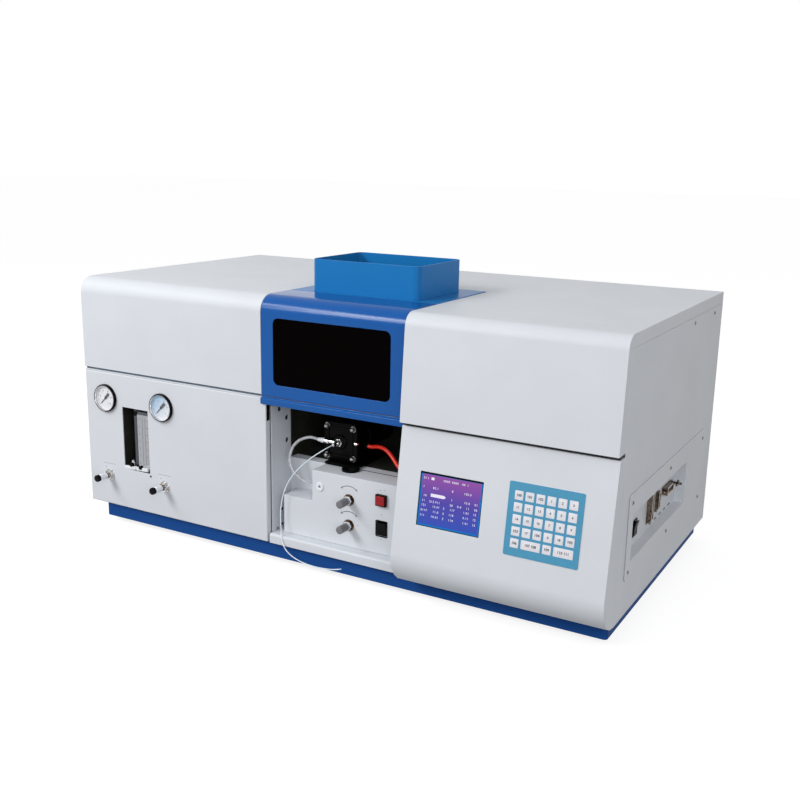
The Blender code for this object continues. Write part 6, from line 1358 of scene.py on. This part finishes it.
def shown(tree):
    """One where the camera, a reflection or a transparent surface shows the background, else zero."""
    ray = add(tree, "LightPath")
    rays = {0: ray.outputs["Is Glossy Ray"], 1: ray.outputs["Is Transmission Ray"]}
    rays = {0: ray.outputs["Is Camera Ray"], 1: add(tree, "Math", rays, operation="MAXIMUM").outputs[0]}
    return add(tree, "Math", rays, operation="MAXIMUM").outputs[0]


class SPECTROMETER_OT_stage(bpy.types.Operator):
    """Adds the floor, the lamps, the world and the camera"""

    bl_idname = "spectrometer.stage"
    bl_label = "Stage"

    def execute(self, context):
        scene = context.scene
        scene.view_settings.view_transform = "Standard"
        mesh = bpy.data.meshes.new("floor")
        shape = bmesh.new()
        bmesh.ops.create_grid(shape, x_segments=1, y_segments=1, size=FLOOR_HALF)
        shape.to_mesh(mesh)
        shape.free()
        floor = bpy.data.objects.new("floor", mesh)
        floor.location.z = -FLOOR_DROP
        scene.collection.objects.link(floor)
        ground = fresh("pale floor", linear("#E4E5E8"), 0.9, {SHEEN: 0.0})
        tree = ground.node_tree
        seen = shown(tree)
        paleness = add(tree, "MapRange", {"Value": seen, "To Min": FLOOR_DARK, "To Max": FLOOR_PALE})
        tree.links.new(paleness.outputs["Result"], tree.nodes["Principled BSDF"].inputs["Base Color"])
        share = add(tree, "Math", {0: seen, 1: FLOOR_GLOW_SHARE}, operation="MULTIPLY").outputs[0]
        glow = add(tree, "Emission", {"Color": (1, 1, 1, 1), "Strength": FLOOR_GLOW}).outputs["Emission"]
        mixed = add(tree, "MixShader", {0: share, 1: tree.nodes["Principled BSDF"].outputs[0], 2: glow})
        tree.links.new(mixed.outputs[0], tree.nodes["Material Output"].inputs["Surface"])
        mesh.materials.append(ground)
        world = bpy.data.worlds.new("studio")
        scene.world = world
        world.use_nodes = True
        tree = world.node_tree
        level = add(tree, "MapRange", {"Value": shown(tree), "To Min": SKY_LIGHT, "To Max": 1.0})
        tree.links.new(level.outputs["Result"], tree.nodes["Background"].inputs["Strength"])
        tree.nodes["Background"].inputs["Color"].default_value = (1, 1, 1, 1)
        for name, place, aim, size, power in STUDIO_LAMPS:
            data = bpy.data.lights.new(name, "AREA")
            data.shape = "RECTANGLE"
            data.size, data.size_y = size
            data.energy = power
            lamp = bpy.data.objects.new(name, data)
            lamp.location = place
            lamp.rotation_euler = (Vector(aim) - Vector(place)).to_track_quat("-Z", "Y").to_euler()
            scene.collection.objects.link(lamp)
        data = bpy.data.cameras.new("camera")
        data.sensor_width = FILM_WIDTH
        data.lens = CAMERA_FOCUS * FILM_WIDTH / IMAGE_SIZE
        data.shift_x = (IMAGE_SIZE / 2 - CAMERA_CENTRE[0]) / IMAGE_SIZE
        data.shift_y = (CAMERA_CENTRE[1] - IMAGE_SIZE / 2) / IMAGE_SIZE
        data.clip_start = NEAR_CLIP
        camera = bpy.data.objects.new("camera", data)
        turn = Matrix.Rotation(CAMERA_YAW, 4, "Z") @ Matrix.Rotation(QUARTER - CAMERA_PITCH, 4, "X")
        turn = turn @ Matrix.Rotation(CAMERA_ROLL, 4, "Z")
        camera.matrix_world = Matrix.Translation(in_frame(CAMERA_PLACE)) @ turn
        scene.collection.objects.link(camera)
        scene.camera = camera
        return {"FINISHED"}


STEPS = (
    SPECTROMETER_OT_stage, SPECTROMETER_OT_hoses, SPECTROMETER_OT_cabinet, SPECTROMETER_OT_gauges,
    SPECTROMETER_OT_flowmeter, SPECTROMETER_OT_valves, SPECTROMETER_OT_display, SPECTROMETER_OT_keypad,
    SPECTROMETER_OT_controls, SPECTROMETER_OT_burner, SPECTROMETER_OT_side, SPECTROMETER_OT_rear,
    SPECTROMETER_OT_interior,
)


class SPECTROMETER_PT_pieces(bpy.types.Panel):
    """Lists the pieces, their sizes and colours"""

    bl_idname = "SPECTROMETER_PT_pieces"
    bl_label = "Spectrometer"
    bl_space_type = "VIEW_3D"
    bl_region_type = "UI"
    bl_category = "Spectrometer"

    def draw(self, context):
        for group in (context.scene.spectrometer_sizes, context.scene.spectrometer_colours):
            for name in group.__annotations__:
                self.layout.prop(group, name)
        for step in STEPS:
            self.layout.operator(step.bl_idname)


CLASSES = (SpectrometerSizes, SpectrometerColours) + STEPS + (SPECTROMETER_PT_pieces,)


def register():
    for item in CLASSES:
        bpy.utils.register_class(item)
    bpy.types.Scene.spectrometer_sizes = PointerProperty(type=SpectrometerSizes)
    bpy.types.Scene.spectrometer_colours = PointerProperty(type=SpectrometerColours)


def unregister():
    del bpy.types.Scene.spectrometer_sizes
    del bpy.types.Scene.spectrometer_colours
    for item in reversed(CLASSES):
        bpy.utils.unregister_class(item)


def main():
    register()
    for step in STEPS:
        group, name = step.bl_idname.split(".")
        getattr(getattr(bpy.ops, group), name)()


if __name__ == "__main__":
    main()
